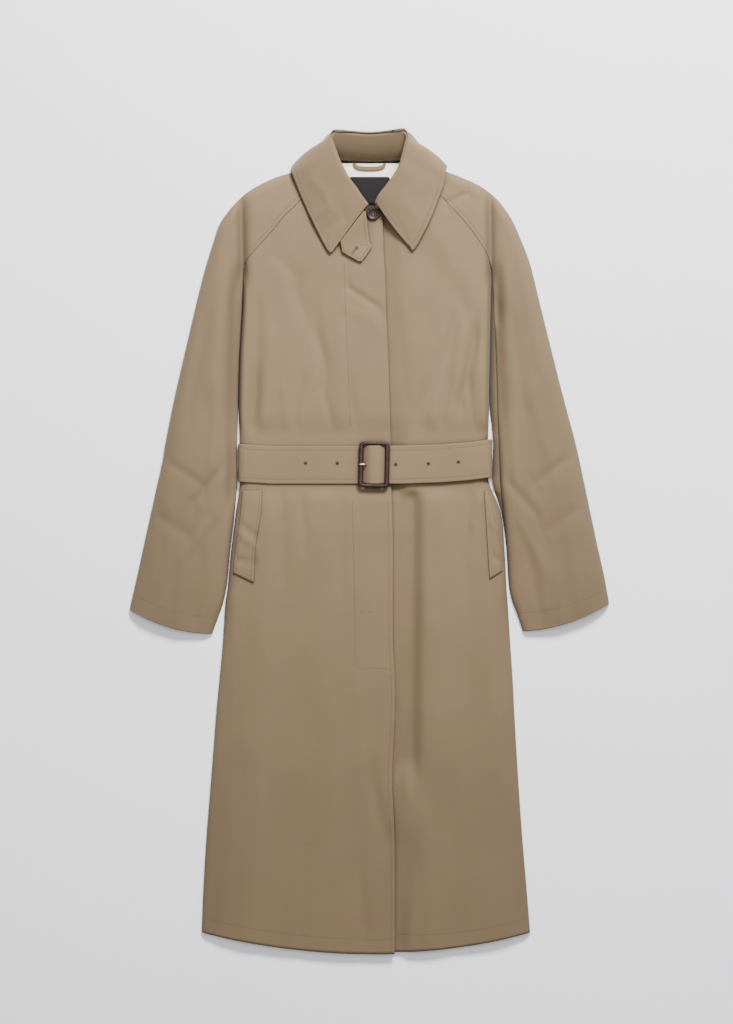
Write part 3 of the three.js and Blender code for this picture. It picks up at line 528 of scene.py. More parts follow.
# Width over which an edge rounds down, by row: body, then the outside and inside of a sleeve
BODY_ROLL = [(6, 7), (11.5, 8), (12, EDGE_ROLL), (18, EDGE_ROLL), (20, 24), (25, 24)]
OUTER_ROLL = [(0, EDGE_ROLL), (6, EDGE_ROLL), (9, 24), (20, 26)]
INNER_ROLL = [(6, 8), (7.5, 30), (11, 30), (13, 15), (20, 13)]


def hem(k):
    return along(HEM_SAG, k)


def cuff(k):
    return along(CUFF_SAG, k)


def surface(x, y):
    """Under side of the pieces that lie on the floor, before the gap that a panel adds."""
    return -GAP + 0 * x


# Beside the sleeves the back reaches as far as they do, down to the belt
back_left = RIGHT_SEAM[:7] + [(x + 0.05, y) for x, y in RIGHT_INNER[7:12]] + RIGHT_SEAM[12:]
back_right = LEFT_SEAM[:7] + [(x - 0.05, y) for x, y in LEFT_INNER_BACK[7:12]] + LEFT_SEAM[12:]
back = panel(
    "back_shell", TWILL, back_left, back_right, (0, 25), lambda x, y, *_: creased_back(x, y),
    low=surface, thick=BACK_CLOTH, fine=8, middle=70, round_columns=2,
    sag=lambda k: np.where(k < 3, -BACK_NECK_RISE * (1 - k / 3), 2.8 * hem(k)),
)
finish_piece(back, "coat_cloth", "back_panel")
right_front = panel(
    "right_front_shell", TWILL, RIGHT_SEAM, FRONT_EDGE, (0, 25), front_top, drop_left=below_raglan,
    sag=hem, roll_left=BODY_ROLL, roll_right=((0, 6),), middle=110,
)
finish_piece(right_front, "coat_cloth", "front_right")
left_front = panel(
    "left_front_shell", TWILL, UNDER_EDGE, LEFT_SEAM, (0, 25), covered_top, drop_right=below_raglan,
    sag=hem, roll_left=((0, 30),), roll_right=BODY_ROLL, middle=110,
)
finish_piece(left_front, "coat_cloth", "front_left")

placket_rows = FRONT_EDGE[7:20]
placket = patch(
    "fly_placket_shell", TWILL, [(x - 58, y) for x, y in placket_rows], [(x - 3, y) for x, y in placket_rows],
    lambda x, y: front_top(x, y) - CLOTH - LAYER_GAP - PLACKET, PLACKET, fine=4, columns=8,
)
finish_piece(placket, "coat_cloth", "fly_placket")


def sleeve(side, outer, inner, name, inner_back=None):
    def inward(u):
        return u if side < 0 else 1 - u

    def top(x, y, k, u):
        shoulder = mix(along(SLEEVE_CROWN, y), along(FRONT_CROWN, y), smooth(0.3, 1, inward(u)))
        arm = along(SLEEVE_CROWN, y) - INNER_DROP * smooth(0.55, 1, inward(u))
        arm = arm + folds(x, y, SLEEVE_CREASES, belt=False)
        body_folds = folds(x, y) * (1 - smooth(RAGLAN_ENDS + 2, RAGLAN_ENDS + 4, k))
        return mix(shoulder, arm, smooth(RAGLAN_ENDS, RAGLAN_ENDS + 3, k)) + body_folds

    def under_top(x, y, *_):
        creases = folds(x + (1 - side) * SLEEVE_MIDDLE, y, SLEEVE_BACK_CREASES, belt=False)
        return back_top(x, y) + creases * (x * side > SLEEVE_NEAR)

    def in_order(outside, inside):
        return (outside, inside) if side < 0 else (inside, outside)

    left, right = in_order(outer, inner)
    drop_left, drop_right = in_order(np.ones_like, below_raglan)
    roll_left, roll_right = in_order(OUTER_ROLL, INNER_ROLL)
    shell = panel(
        f"sleeve_{name}_front_shell", TWILL, left, right, (0, 20), top, drop_left=drop_left,
        drop_right=drop_right, roll_left=roll_left, roll_right=roll_right, sag=cuff, middle=36,
    )
    finish_piece(shell, "coat_cloth", f"sleeve_front_{name}")
    under = panel(
        f"sleeve_{name}_back_shell", TWILL, inner_back or left, right, (0, 20), under_top,
        low=surface, thick=BACK_CLOTH, sag=cuff, middle=12, round_columns=2, fine=6,
    )
    finish_piece(under, "coat_cloth", f"sleeve_back_{name}")
    return shell, under


sleeves = {
    "right": sleeve(-1, RIGHT_OUTER, RIGHT_INNER, "right"),
    "left": sleeve(1, LEFT_OUTER, LEFT_INNER, "left", LEFT_INNER_BACK),
}

# Collar: the same rows as the solids'
FALL = [
    (-1.4, 506, 29, -24, 478, 26, -55.5, 434.8, None), (-10, 517, 33, -34, 484, 28, -61.5, 435, None),
    (-20.5, 532, 36, -45, 502, 33, -77, 463, None), (-32.6, 547.4, 39, -58, 522, 35, -89.5, 488.7, None),
    (-43, 566.3, 42, -70, 543, 37, -99.7, 511.2, None), (-47.5, 576, 43, -78, 558, 37, -108.4, 532, None),
    (-51.5, 587, 44, -86, 572, 37, -116, 553, None), (-55, 597, 44.5, -92, 585, 33, -117, 562.5, 9),
    (-57, 602, 44.5, -98, 590, 14, -114, 563.5, 0), (-57.5, 606, 44.5, -92, 592, -10, -98, 552, 0),
    (-52, 613, 43.5, -72, 612, -15, -80, 551, 0), (-30, 612, 42, -34, 619, -9, -42, 551, 0),
    (0, 610, 41, 0, 617, -9, 0, 552, 0), (30, 612.5, 42, 34, 619, -9, 42, 551, 0),
    (51, 615, 43.5, 72, 614, -15, 80, 551, 0), (56, 606, 44.5, 92, 593, -10, 98, 552, 0),
    (55.5, 601, 44.5, 98, 590, 14, 113.5, 564, 0), (54, 596, 44.5, 92, 585, 33, 116.5, 563, 9),
    (52, 587, 44, 86, 572, 37, 113.5, 554, None), (49, 575, 43, 78, 556, 37, 111.5, 536, None),
    (44, 560, 42, 72, 538, 37, 104, 515, None), (33, 544, 39, 60, 518, 35, 93, 487, None),
    (23, 531, 36, 48, 496, 33, 81, 462, None), (14, 520, 33, 36, 484, 28, 66.5, 437.5, None),
    (8.5, 510, 29, 28, 478, 26, 61.5, 440.5, None),
]
FALL_ROWS = [
    (*r[:8], r[8] if r[8] is not None else float(along(FRONT_CROWN, r[7]) + folds(r[6], r[7]) + LEAF_REST + CLOTH))
    for r in FALL
]
NECK_SIDE = [
    (37, 513, 19.6), (50, 529, 19.6), (59, 547, 19.2), (64, 558, 18.5), (66, 566, 17), (66, 573, 14),
    (64.5, 575, 11.5), (62, 576, 9), (52, 573, 6), (30, 571, 5),
]
NECK_SEAM = [
    (-4, 502, 19.6), (-20, 505, 19.6), *[(-x, y, z) for x, y, z in NECK_SIDE], (0, 570, 5), *NECK_SIDE[::-1],
    (23, 505, 19.6), (11, 500, 19.6),
]


def offset_grid(face, i, j, thick):
    """Points of a face moved along its normal."""
    h = 0.01
    p = face(i, j)
    du = face(i + h, j) - face(i - h, j)
    dv = face(i, j + h) - face(i, j - h)
    n = np.cross(du, dv)
    return p + n / np.maximum(np.linalg.norm(n, axis=-1, keepdims=True), 1e-9) * thick


LEAF_CREASES = [
    (-62, 500, -84, 484, 7, 0.9), (-40, 486, -66, 466, 6, -0.8), (-84, 540, -66, 520, 8, 0.8),
    (-30, 500, -44, 470, 6, 0.6), (52, 508, 74, 484, 8, 0.7),
    (40, 478, 56, 456, 6, -0.6), (86, 540, 70, 520, 8, 0.6),
]


def fall_point(v, k):
    a = curve(FALL_ROWS, np.clip(k, 0, len(FALL) - 1))
    v3 = np.clip(v, 0, 1)[..., None]
    p = (1 - v3) ** 2 * a[..., 0:3] + 2 * v3 * (1 - v3) * a[..., 3:6] + v3 * v3 * a[..., 6:9]
    far = np.linalg.norm(p - a[..., 0:3], axis=-1)
    z = p[..., 2] - 3.0 * (1 - rounding(far, 5.0))
    z = z + folds(p[..., 0], p[..., 1], LEAF_CREASES, belt=False) * (z > 12)
    return np.stack([p[..., 0], p[..., 1], np.maximum(z, 0)], -1)


v_axis = np.concatenate([np.linspace(0, 0.08, 7)[:-1], np.linspace(0.08, 1, 40)])
k_axis = np.linspace(0, len(FALL) - 1, (len(FALL) - 1) * 8 + 1)
vv, kk = np.meshgrid(v_axis, k_axis)
fall_outer = fall_point(vv, kk)
fall_inner = offset_grid(fall_point, vv, kk, CLOTH)
fall = wall("collar_shell", fall_outer, fall_inner, TWILL)
finish_piece(fall, "coat_cloth", "collar_fall")


def stand_point(u, k):
    u = np.clip(u, 0, 1)
    k = np.clip(k, 0, len(FALL) - 1)
    seam, row = curve(NECK_SEAM, k), curve(FALL_ROWS, k)
    side = np.clip(row[..., 0] / 40, -1, 1)
    top = np.stack([row[..., 0] - side * 0.8 * 2.6, row[..., 1] - 0.6 * 2.6, row[..., 2] - 3.4], -1)
    rise = np.stack([u**1.25, u**1.25, u**0.7], -1)
    return mix(seam, top, rise)


uu, kk = np.meshgrid(np.linspace(0, 1, 13), k_axis)
# The stand is coloured with the twill darkened as painted shade
stand = wall("collar_stand_shell", stand_point(uu, kk), offset_grid(stand_point, uu, kk, CLOTH), TWILL_PAINTED_SHADE)
finish_piece(stand, "coat_cloth", "collar_stand")


# Inside of the neck
def inside_back(x, y):
    return back_top(x, y) + LAYER_GAP


def on_lining(x, y):
    return inside_back(x, y) + LINING + SMALL_GAP


lining = patch(
    "lining_shell", LINING_CLOTH, [(-50, 568.2), (-62, 545), (-80, 520), (-90, 509)],
    [(50, 568.2), (62, 545), (80, 520), (90, 509)], inside_back, LINING, columns=40,
)
finish_piece(lining, "lining_cloth", "back_neck_lining")
label = patch(
    "label_shell", LABEL_CLOTH, [(-26.8, 548), (-29.6, 547), (-30.4, 544), (-30.6, 526), (-30.6, 508)],
    [(27.1, 548), (29.9, 547), (30.7, 544), (30.9, 526), (30.9, 508)],
    on_lining, LABEL, columns=20,
)
finish_piece(label, "label_cloth", "neck_label")
# A flat band that hangs in a U from the neck seam
LOOP = {"half": 24.8, "top": 568.3, "hang": 12, "side": 4.4, "bottom": 7, "thick": 1.3}
turn = np.linspace(0, math.pi, 49)[:, None]
w = np.linspace(0, 1, 9)[None, :]
loop_x = -(LOOP["half"] - w * LOOP["side"]) * np.sign(np.cos(turn)) * np.abs(np.cos(turn)) ** 0.7
loop_y = LOOP["top"] - (LOOP["hang"] - w * LOOP["bottom"]) * np.sin(turn) ** 0.7
loop_low = on_lining(loop_x, loop_y)
swell = 0.5 * np.sin(math.pi * w)
# The loop is coloured with the twill darkened as painted shade
loop = wall(
    "hanger_loop_shell", np.stack([loop_x, loop_y, loop_low + LOOP["thick"] + swell], -1),
    np.stack([loop_x, loop_y, loop_low], -1), TWILL_PAINTED_SHADE,
)
finish_piece(loop, "coat_cloth", "hanger_loop")

# Throat tab
LEAF_EDGE = FALL_ROWS[0]


def tab_under(x, y):
    v = np.clip((LEAF_EDGE[1] - y) / (LEAF_EDGE[1] - LEAF_EDGE[7]), 0, 1)
    level = (1 - v) ** 2 * LEAF_EDGE[2] + 2 * v * (1 - v) * LEAF_EDGE[5] + v * v * LEAF_EDGE[8]
    edge_x = mix(LEAF_EDGE[0], LEAF_EDGE[6], v)
    rest = front_top(x, y) + TAB_REST + TAB
    return mix(level, rest, smooth(0, 38, x - edge_x) * (1 - smooth(440, 500, y))) - TAB


tab = patch(
    "throat_tab_shell", TWILL,
    [(-8.6, 495), (-20.4, 480.2), (-32.6, 464.2), (-43, 450.8), (-43.2, 449.6), (-41, 435.4),
     (-40.2, 434.2), (-28, 427), (-15.5, 420.5)],
    [(-5.6, 494.6), (-3.4, 478), (-1.8, 462), (-0.8, 453), (1.4, 445), (3.4, 443.4), (3, 442),
     (-0.7, 435.5), (-11.5, 420.5)],
    tab_under, TAB,
)
finish_piece(tab, "coat_cloth", "throat_tab")


# Pocket welts
def side_top(seam, side):
    rows = [(y, x) for x, y in seam[7:]][::-1]

    def height(x, y):
        low = back_top(x, y) + GAP
        return low + (front_top(x, y) - low) * rounding(np.maximum(0, (x - along(rows, y)) * -side), EDGE_ROLL)

    return height


welts = {}
for name, side, seam, left, right in (
    ("right", -1, RIGHT_SEAM, [(-190, 78), (-193, 43), (-200, -8), (-204, -45)],
     [(-161, 78), (-163, 43), (-171, -8), (-173, -60)]),
    ("left", 1, LEFT_SEAM, [(172, 78), (174, 43), (177, -8), (180, -54)],
     [(180, 78), (190, 43), (196, -8), (199, -42)]),
):
    height = side_top(seam, side)
    welt = patch(f"pocket_welt_{name}_shell", TWILL, left, right, lambda x, y: height(x, y) + LAYER_GAP, WELT)
    welts[name] = finish_piece(welt, "coat_cloth", f"pocket_welt_{name}")

# Belt
BELT_PATH = [
    (10.5, 18.9), (6, 18.9), (2.5, 18), (1.7, 16.2), (2.4, 14.3), (5.2, 13.45), (30, 13.5), (70, 13.5),
    (110, 13.5), (150, 13.5), (170, 13.5), (175, 13), (178.4, 11.2), (180, 8), (180, 3.2), (179.2, 1.4),
    (177.5, 1.1), (120, 1.1), (60, 1.1), (0, 1.1), (-60, 1.1), (-120, 1.1), (-193.6, 1.1), (-195.2, 1.4),
    (-195.9, 3.2), (-195.9, 8), (-194.2, 11), (-191, 13), (-186, 13.5), (-150, 13.5), (-100, 13.5),
    (-60, 13.5), (-28, 13.5), (-16, 13.9), (-9, 15.3), (-4, 17.8), (0, 20.4), (3.4, 21.5), (10.5, 21.5),
    (14.5, 20.4), (19, 17.9), (23, 16.3), (30, 16.1), (70, 16.1), (110, 16.1), (150, 16.1), (170, 16.1),
    (176, 15.7), (180.6, 13.9), (182.7, 10), (182.7, 3),
]
BELT_MIDDLE = [(-196, 119.5), (-149, 116.5), (-40, 116.5), (50, 116.7), (106, 118.5), (151, 122), (183, 126.5)]


def belt_points():
    path = np.array(BELT_PATH, float)
    steps = [path[0]]
    for a, b in zip(path[:-1], path[1:]):
        n = max(1, int(np.hypot(*(b - a)) / 4))
        steps += [a + (b - a) * s / n for s in range(1, n + 1)]
    steps = np.array(steps)
    ahead = np.gradient(steps, axis=0)
    ahead /= np.linalg.norm(ahead, axis=1, keepdims=True)
    normal = np.stack([-ahead[:, 1], ahead[:, 0]], 1)
    across = np.array([-0.5, -0.494, -0.47, -0.44, -0.41, -0.38, -0.2, 0, 0.2, 0.38, 0.41, 0.44, 0.47, 0.494, 0.5])
    swell = np.array([0.45, 0.8, 0.97, 1.0, 0.86, 1.0, 1.02, 1.0, 1.02, 1.0, 0.86, 1.0, 0.97, 0.8, 0.45])
    sides = []
    for way in (1, -1):
        half = way * BELT_CLOTH / 2 * swell[None, :, None]
        xz = steps[:, None, :] + normal[:, None, :] * half
        y = along(BELT_MIDDLE, steps[:, 0])[:, None] + across[None, :] * BELT_WIDTH
        sides.append(np.stack([xz[..., 0], y, xz[..., 1]], -1))
    return sides


belt_out, belt_in = belt_points()
belt = wall("belt_shell", belt_out, belt_in, TWILL)
finish_piece(belt, "coat_cloth", "belt_strap")


def join_mesh(name, parts, material, slot_name, *nodes):
    """One piece from many (points, faces) islands; points are in millimetres."""
    points, faces = [], []
    for island, its_faces in parts:
        base = len(points)
        points.extend(np.asarray(island, float).tolist())
        faces.extend(tuple(base + n for n in f) for f in its_faces)
    return finish_piece(make_mesh(name, points, faces, material), slot_name, *nodes)


def rings(sections, closed=False):
    """Faces over rings of points of shape (stations, round, 3), with end caps unless closed."""
    count, sides = sections.shape[:2]
    points = sections.reshape(-1, 3)
    faces = []
    for n in range(count if closed else count - 1):
        for i in range(sides):
            a, b = n * sides + i, n * sides + (i + 1) % sides
            c, d = ((n + 1) % count) * sides + (i + 1) % sides, ((n + 1) % count) * sides + i
            faces.append((a, b, c, d))
    if not closed:
        faces.append(tuple(range(sides))[::-1])
        faces.append(tuple((count - 1) * sides + i for i in range(sides)))
    a, b, c = points[faces[0][0]], points[faces[0][1]], points[faces[0][2]]
    middle = sections[0].mean(0)
    if np.dot(np.cross(b - a, c - a), a - middle) < 0:
        faces = [f[::-1] for f in faces]
    return points, faces


def tube(points, radius, sides=16, ends=1.0):
    """A round rod along points; ends is how much its tips taper."""
    path = np.array(points, float)
    ahead = np.gradient(path, axis=0)
    ahead /= np.linalg.norm(ahead, axis=1, keepdims=True)
    up = np.array([0.0, 0.0, 1.0]) if abs(ahead[0][2]) < 0.9 else np.array([0.0, 1.0, 0.0])
    across = np.cross(ahead, up)
    across /= np.linalg.norm(across, axis=1, keepdims=True)
    other = np.cross(across, ahead)
    turn = np.linspace(0, 2 * math.pi, sides, endpoint=False)
    far = np.concatenate([[0], np.cumsum(np.linalg.norm(np.diff(path, axis=0), axis=1))])
    close = np.minimum(far, far[-1] - far)
    size = radius * (1 - ends * (1 - rounding(close, radius)))
    size = np.maximum(size, radius * 0.25)
    ring = across[:, None, :] * np.cos(turn)[None, :, None] + other[:, None, :] * np.sin(turn)[None, :, None]
    return rings(path[:, None, :] + ring * size[:, None, None])


def disc(x, y, z, across, thick, steps=16):
    turn = np.linspace(0, 2 * math.pi, steps, endpoint=False)
    ring = np.stack([x + across / 2 * np.cos(turn), y + across / 2 * np.sin(turn), z + 0 * turn], -1)
    return rings(np.stack([ring - [0, 0, thick / 2], ring + [0, 0, thick / 2]]))


# Sewing
STITCH_PITCH = 3.3
STITCH = {"length": 2.5, "width": 0.75, "rise": 0.32, "sink": 0.12}
ABOVE, BELOW = 1, -1
UP = np.array([0, 0, 1.0])


def tree_of(piece):
    return BVHTree.FromPolygons([v.co for v in piece.data.vertices], [f.vertices for f in piece.data.polygons])


def meet(tree, x, y, way):
    """The outermost point of a piece at a place, and its normal, in millimetres."""
    spot, normal, *_ = tree.ray_cast(Vector((x * MM, y * MM, 0.2 * way)), Vector((0, 0, -way)))
    if spot is None:
        return None
    normal = np.array(normal)
    return np.array(spot) / MM, normal if normal[2] * way > 0 else -normal


def one_stitch(a, b, up, width, rise, sink):
    """A raised thread from point to point: rings of four points at its ends and its middle."""
    ahead = (b - a) / max(np.linalg.norm(b - a), 1e-6)
    side = np.cross(ahead, up)
    stations = []
    for t, wide, high in ((0, 0.35, 0.0), (0.22, 0.9, 0.8), (0.5, 1.0, 1.0), (0.78, 0.9, 0.8), (1, 0.35, 0.0)):
        p = a + (b - a) * t
        stations.append([
            p - side * width / 2 * wide, p + up * (rise * high + 0.02),
            p + side * width / 2 * wide, p - up * sink,
        ])
    return rings(np.array(stations))


def stitches(name, lines, piece, way=ABOVE, material=None, pitch=STITCH_PITCH):
    tree = tree_of(piece)
    parts = []
    for line in lines:
        path = np.array(line, float)[:, :2]
        far = np.concatenate([[0], np.cumsum(np.hypot(*np.diff(path, axis=0).T))])
        count = max(1, round(far[-1] / pitch))
        for n in range(count):
            middle = (n + 0.5) * far[-1] / count
            reach = min(STITCH["length"], pitch * 0.8) / 2
            at = np.clip([middle - reach, middle + reach], 0, far[-1])
            ends = [meet(tree, np.interp(d, far, path[:, 0]), np.interp(d, far, path[:, 1]), way) for d in at]
            if None in ends or abs(ends[0][0][2] - ends[1][0][2]) > reach:
                continue
            up = ends[0][1] + ends[1][1]
            up /= np.linalg.norm(up)
            parts.append(one_stitch(ends[0][0], ends[1][0], up, STITCH["width"], STITCH["rise"],
                                    STITCH["sink"]))
    return join_mesh(name, parts, material or THREAD, "coat_cloth")


def beside(path, d):
    """A line at a distance to the left of another."""
    path = np.array(path, float)[:, :2]
    ahead = np.gradient(path, axis=0)
    ahead /= np.linalg.norm(ahead, axis=1, keepdims=True)
    return path + np.stack([-ahead[:, 1], ahead[:, 0]], 1) * d


def clear_of(path, others, d):
    """The points of a line that stay so far from other lines."""
    points = np.concatenate([np.array(o, float)[:, :2] for o in others])
    near = np.hypot(*(path[:, None, :] - points[None, :, :]).transpose(2, 0, 1)).min(1)
    return path[near >= d]


def bowed(a, b, sag, count=60):
    """A line between two points that hangs under the straight one."""
    t = np.linspace(0, 1, count)[:, None]
    line = mix(np.array(a, float), np.array(b, float), t)
    line[:, 1] -= sag * 4 * t[:, 0] * (1 - t[:, 0])
    return line


def smooth_line(rows, fine=12):
    return curve(rows, np.linspace(0, len(rows) - 1, (len(rows) - 1) * fine + 1))


# Collar: lines inside the leaves' outer edges and the left leaf's front edge
LEAF_MARGIN = 6.5
v_line = np.linspace(0.04, 1, 120)
rows_right, rows_left = np.linspace(0, 7.2, 120), np.linspace(16.8, 24, 120)
right_front_edge = fall_point(v_line, 0 * v_line)
right_outer_edge = fall_point(1 + 0 * rows_right, rows_right)
left_front_edge = fall_point(v_line, 24 + 0 * v_line)
left_outer_edge = fall_point(1 + 0 * rows_left, rows_left)
leaf_lines = [
    clear_of(beside(right_outer_edge[4:], -LEAF_MARGIN), [right_front_edge], LEAF_MARGIN),
    clear_of(beside(left_front_edge, LEAF_MARGIN), [left_outer_edge], LEAF_MARGIN),
    clear_of(beside(left_outer_edge, -LEAF_MARGIN), [left_front_edge], LEAF_MARGIN),
]
stitches("collar_stitches", leaf_lines, fall)

# Throat tab: two lines, its keyhole buttonhole and tacks
tab_edge = smooth_line([
    (-8.6, 495), (-20.4, 480.2), (-32.6, 464.2), (-43.2, 450.4), (-40.8, 434.5), (-28, 427), (-15.5, 420.5),
], 8)
tab_front = smooth_line([
    (-5.6, 494.6), (-3.4, 478), (-1.8, 462), (0, 449), (3.5, 443.4), (-0.7, 435.5), (-11.5, 420.5),
], 8)
tab_lines = [
    clear_of(beside(tab_front, -4), [tab_edge], 3.6), clear_of(beside(tab_edge[28:], 4), [tab_front], 3.6),
    [(-45.5, 453), (-41.5, 453)], [(-37, 453), (-33, 453)], [(-14.5, 446), (-2.5, 444.6)],
]
stitches("throat_tab_stitches", tab_lines, tab, pitch=2.8)


HOLE_STITCH = 1.3


def worked_hole(name, x, y, piece, way_out, length, eye=3.2):
    """A keyhole buttonhole: a slot and eye painted as dark shade, with close stitches round both."""
    tree = tree_of(piece)
    turn = math.atan2(way_out[1], way_out[0])
    outline = []
    for t in np.linspace(math.radians(30), math.radians(330), 15):
        outline.append((x + eye / 2 * math.cos(turn + t), y + eye / 2 * math.sin(turn + t), turn + t))
    for side in (-1, 1):
        for far in np.arange(eye * 0.6, length, 0.95):
            outline.append((
                x + far * math.cos(turn) - side * 0.7 * math.sin(turn),
                y + far * math.sin(turn) + side * 0.7 * math.cos(turn), turn + side * math.pi / 2,
            ))
    parts = []
    for px, py, out in outline:
        near = meet(tree, px, py, ABOVE)
        away = meet(tree, px + HOLE_STITCH * math.cos(out), py + HOLE_STITCH * math.sin(out), ABOVE)
        if near and away:
            parts.append(one_stitch(near[0], away[0], near[1], 0.8, 0.35, 0.1))
    join_mesh(f"{name}_thread", parts, THREAD, "coat_cloth")
    spot = meet(tree, x, y, ABOVE)[0]
    # The slot and eye are dark shapes on the cloth: painted shade in place of an opening
    dark = [disc(x, y, spot[2] + 0.04, eye * 0.8, 0.16)]
    slot_path = [(x + f * math.cos(turn), y + f * math.sin(turn)) for f in np.linspace(0, length, 6)]
    dark.append(tube([(*p, meet(tree, *p, ABOVE)[0][2]) for p in slot_path], 0.3, 6))
    join_mesh(f"{name}_hole", dark, PAINTED_HOLE_SHADE, "coat_cloth")


worked_hole("throat_buttonhole", -19.0, 440.4, tab, (-0.64, -0.77), 12)

# Fly, front edge, hems and cuffs
FLY_LINE = [(-37.9, 414.9), (-33.0, 285), (-28.4, 175)], [
    (-25.9, 64), (-24.4, 17.4), (-23.2, -26), (-21.2, -183),
]
FLY_END = [(-21.2, -183), (-14, -187.5), (31, -188.5)]
front_lines = [smooth_line(line) for line in FLY_LINE] + [FLY_END]
front_lines += [[(23.5, -197), (32.5, -203)], [(-14.5, -103.6), (4, -103.6)]]
front_lines.append(beside(smooth_line([(34, 60), *FRONT_EDGE[15:26]]), -5.5))
HEM_MARGIN = 23
front_lines.append(bowed((-250.2, -584 + HEM_MARGIN), (36.5, -616 + HEM_MARGIN), 10, 120))
stitches("right_front_stitches", front_lines, right_front)
left_lines = [
    bowed((38.5, -613 + HEM_MARGIN + 4), (239.4, -584 + HEM_MARGIN), 8.5, 120), [(44, -18), (47.5, -18)],
]
stitches("left_front_stitches", left_lines, left_front)
stitches("back_stitches", [bowed((-249, -584 + HEM_MARGIN), (238.6, -584 + HEM_MARGIN), 28, 120)], back, BELOW)
for name, outer, inner in (("right", RIGHT_OUTER, RIGHT_INNER), ("left", LEFT_OUTER, LEFT_INNER)):
    a, b = curve(outer, 17.9), curve(inner, 18.95)
    raglan = beside(smooth_line(inner[1:7]), -5.5 if name == "right" else 5.5)
    lines = [bowed(a, b, 8.5), raglan]
    for way, part, piece in zip((ABOVE, BELOW), ("front", "back"), sleeves[name]):
        stitches(f"sleeve_{name}_{part}_stitches", lines, piece, way)

# Pocket welts: a line beside the opening, and across the lower end two lines on the right welt and one on the left
WELT_LINES = {
    "right": [
        smooth_line([(-164.5, 76), (-166, 43), (-174, -8), (-176.5, -50)]), [(-204, -41), (-174.5, -56)],
        [(-203.5, -37), (-175.5, -51)],
    ],
    "left": [smooth_line([(177.5, 76), (186, 43), (192.5, -8), (195.5, -40)]), [(181.5, -50), (197.5, -41)]],
}
for name, lines in WELT_LINES.items():
    stitches(f"pocket_welt_{name}_stitches", lines, welts[name])

# Belt: two lines on each face, its eyelets and the ones at the buckle
BELT_MARGIN = 7


def belt_lines(x0, x1, count):
    x = np.linspace(x0, x1, count)
    off = BELT_WIDTH / 2 - BELT_MARGIN
    return [np.stack([x, along(BELT_MIDDLE, x) + side * off], 1) for side in (-1, 1)]


stitches("belt_stitches", belt_lines(-190, -16, 60) + belt_lines(27, 178, 60), belt)
stitches("belt_back_stitches", belt_lines(-192, 178, 100), belt, BELOW)
EYELETS = [(-95.6, 119.0), (-48.1, 118.6), (39.4, 116.8), (88.1, 118.2), (133, 120.5)]
EYELET = {"stitches": 18, "hole": 3.4, "near": 1.75, "length": 1.5}
belt_tree = tree_of(belt)
eyelet_rings, eyelet_holes = [], []
for x, y in EYELETS:
    z = meet(belt_tree, x, y, ABOVE)[0][2]
    for n in range(EYELET["stitches"]):
        turn = 2 * math.pi * n / EYELET["stitches"]
        out = np.array([math.cos(turn), math.sin(turn), 0])
        near = np.array([x, y, z]) + out * EYELET["near"]
        eyelet_rings.append(one_stitch(near, near + out * EYELET["length"], UP, 0.85, 0.4, 0.1))
    # Each eyelet's hole is a dark disc on the belt: painted shade
    eyelet_holes.append(disc(x, y, z + 0.05, EYELET["hole"], 0.16))
join_mesh("belt_eyelets", eyelet_rings, THREAD, "coat_cloth")
join_mesh("belt_eyelet_hole_shade", eyelet_holes, PAINTED_HOLE_SHADE, "coat_cloth")

# Label and hanger loop
stitches("label_stitches", [
    [(-27, 546.8), (27.3, 546.8)], [(-29.4, 543), (-29.4, 510)], [(29.7, 543), (29.7, 510)],
], label, material=LABEL_THREAD, pitch=2.6)
loop_lines = [np.stack([loop_x[2:-2, n], loop_y[2:-2, n]], 1) for n in (2, 6)]
stitches("hanger_loop_stitches", loop_lines, loop, pitch=2.6)

# Buckle: a frame with rounded edges, its centre bar and the prong
BUCKLE = {"x": 7, "y": 116.7, "width": 46, "height": 68, "bar": 6.8, "rail": 5, "corner": 7, "thick": 4,
          "z": 17.9, "lean": -0.02}
CENTRE_BAR = {"width": 3.4, "z": 15.2, "thick": 2}
PRONG = 2.6
BUCKLE_EDGE = [
    (0, 0.3), (0.02, 0.6), (0.09, 0.86), (0.22, 0.98), (0.4, 1), (0.6, 1), (0.78, 0.98), (0.91, 0.86), (0.98, 0.6),
    (1, 0.3), (0.96, 0.08), (0.86, 0), (0.14, 0), (0.04, 0.08),
]


def rounded_rectangle(width, height, corner, steps=10):
    points = []
    for right, top, start in ((1, -1, -90), (1, 1, 0), (-1, 1, 90), (-1, -1, 180)):
        for t in np.radians(np.linspace(start, start + 90, steps)):
            points.append((
                right * (width / 2 - corner) + corner * math.cos(t),
                top * (height / 2 - corner) + corner * math.sin(t),
            ))
    return np.array(points)


outer = rounded_rectangle(BUCKLE["width"], BUCKLE["height"], BUCKLE["corner"])
inner = rounded_rectangle(BUCKLE["width"] - 2 * BUCKLE["bar"], BUCKLE["height"] - 2 * BUCKLE["rail"], 1.4)
sections = np.array([
    [(*mix(o, i, q), BUCKLE["z"] + h * BUCKLE["thick"]) for q, h in BUCKLE_EDGE] for o, i in zip(outer, inner)
])
bar_reach = (BUCKLE["height"] - 2) / 2
bar_path = [(0, y, CENTRE_BAR["z"] + CENTRE_BAR["thick"] / 2) for y in np.linspace(-bar_reach, bar_reach, 12)]
buckle_parts = [rings(sections, closed=True), tube(bar_path, CENTRE_BAR["thick"] / 2, 12)]
for way in (-1, 1):
    post_y = way * (BUCKLE["height"] - BUCKLE["rail"] - 0.6) / 2
    buckle_parts.append(tube(
        [(0, post_y, CENTRE_BAR["z"] + 0.3 * n) for n in range(13)], CENTRE_BAR["width"] / 2, 12, ends=0,
    ))
cos, sin = math.cos(BUCKLE["lean"]), math.sin(BUCKLE["lean"])
placed = []
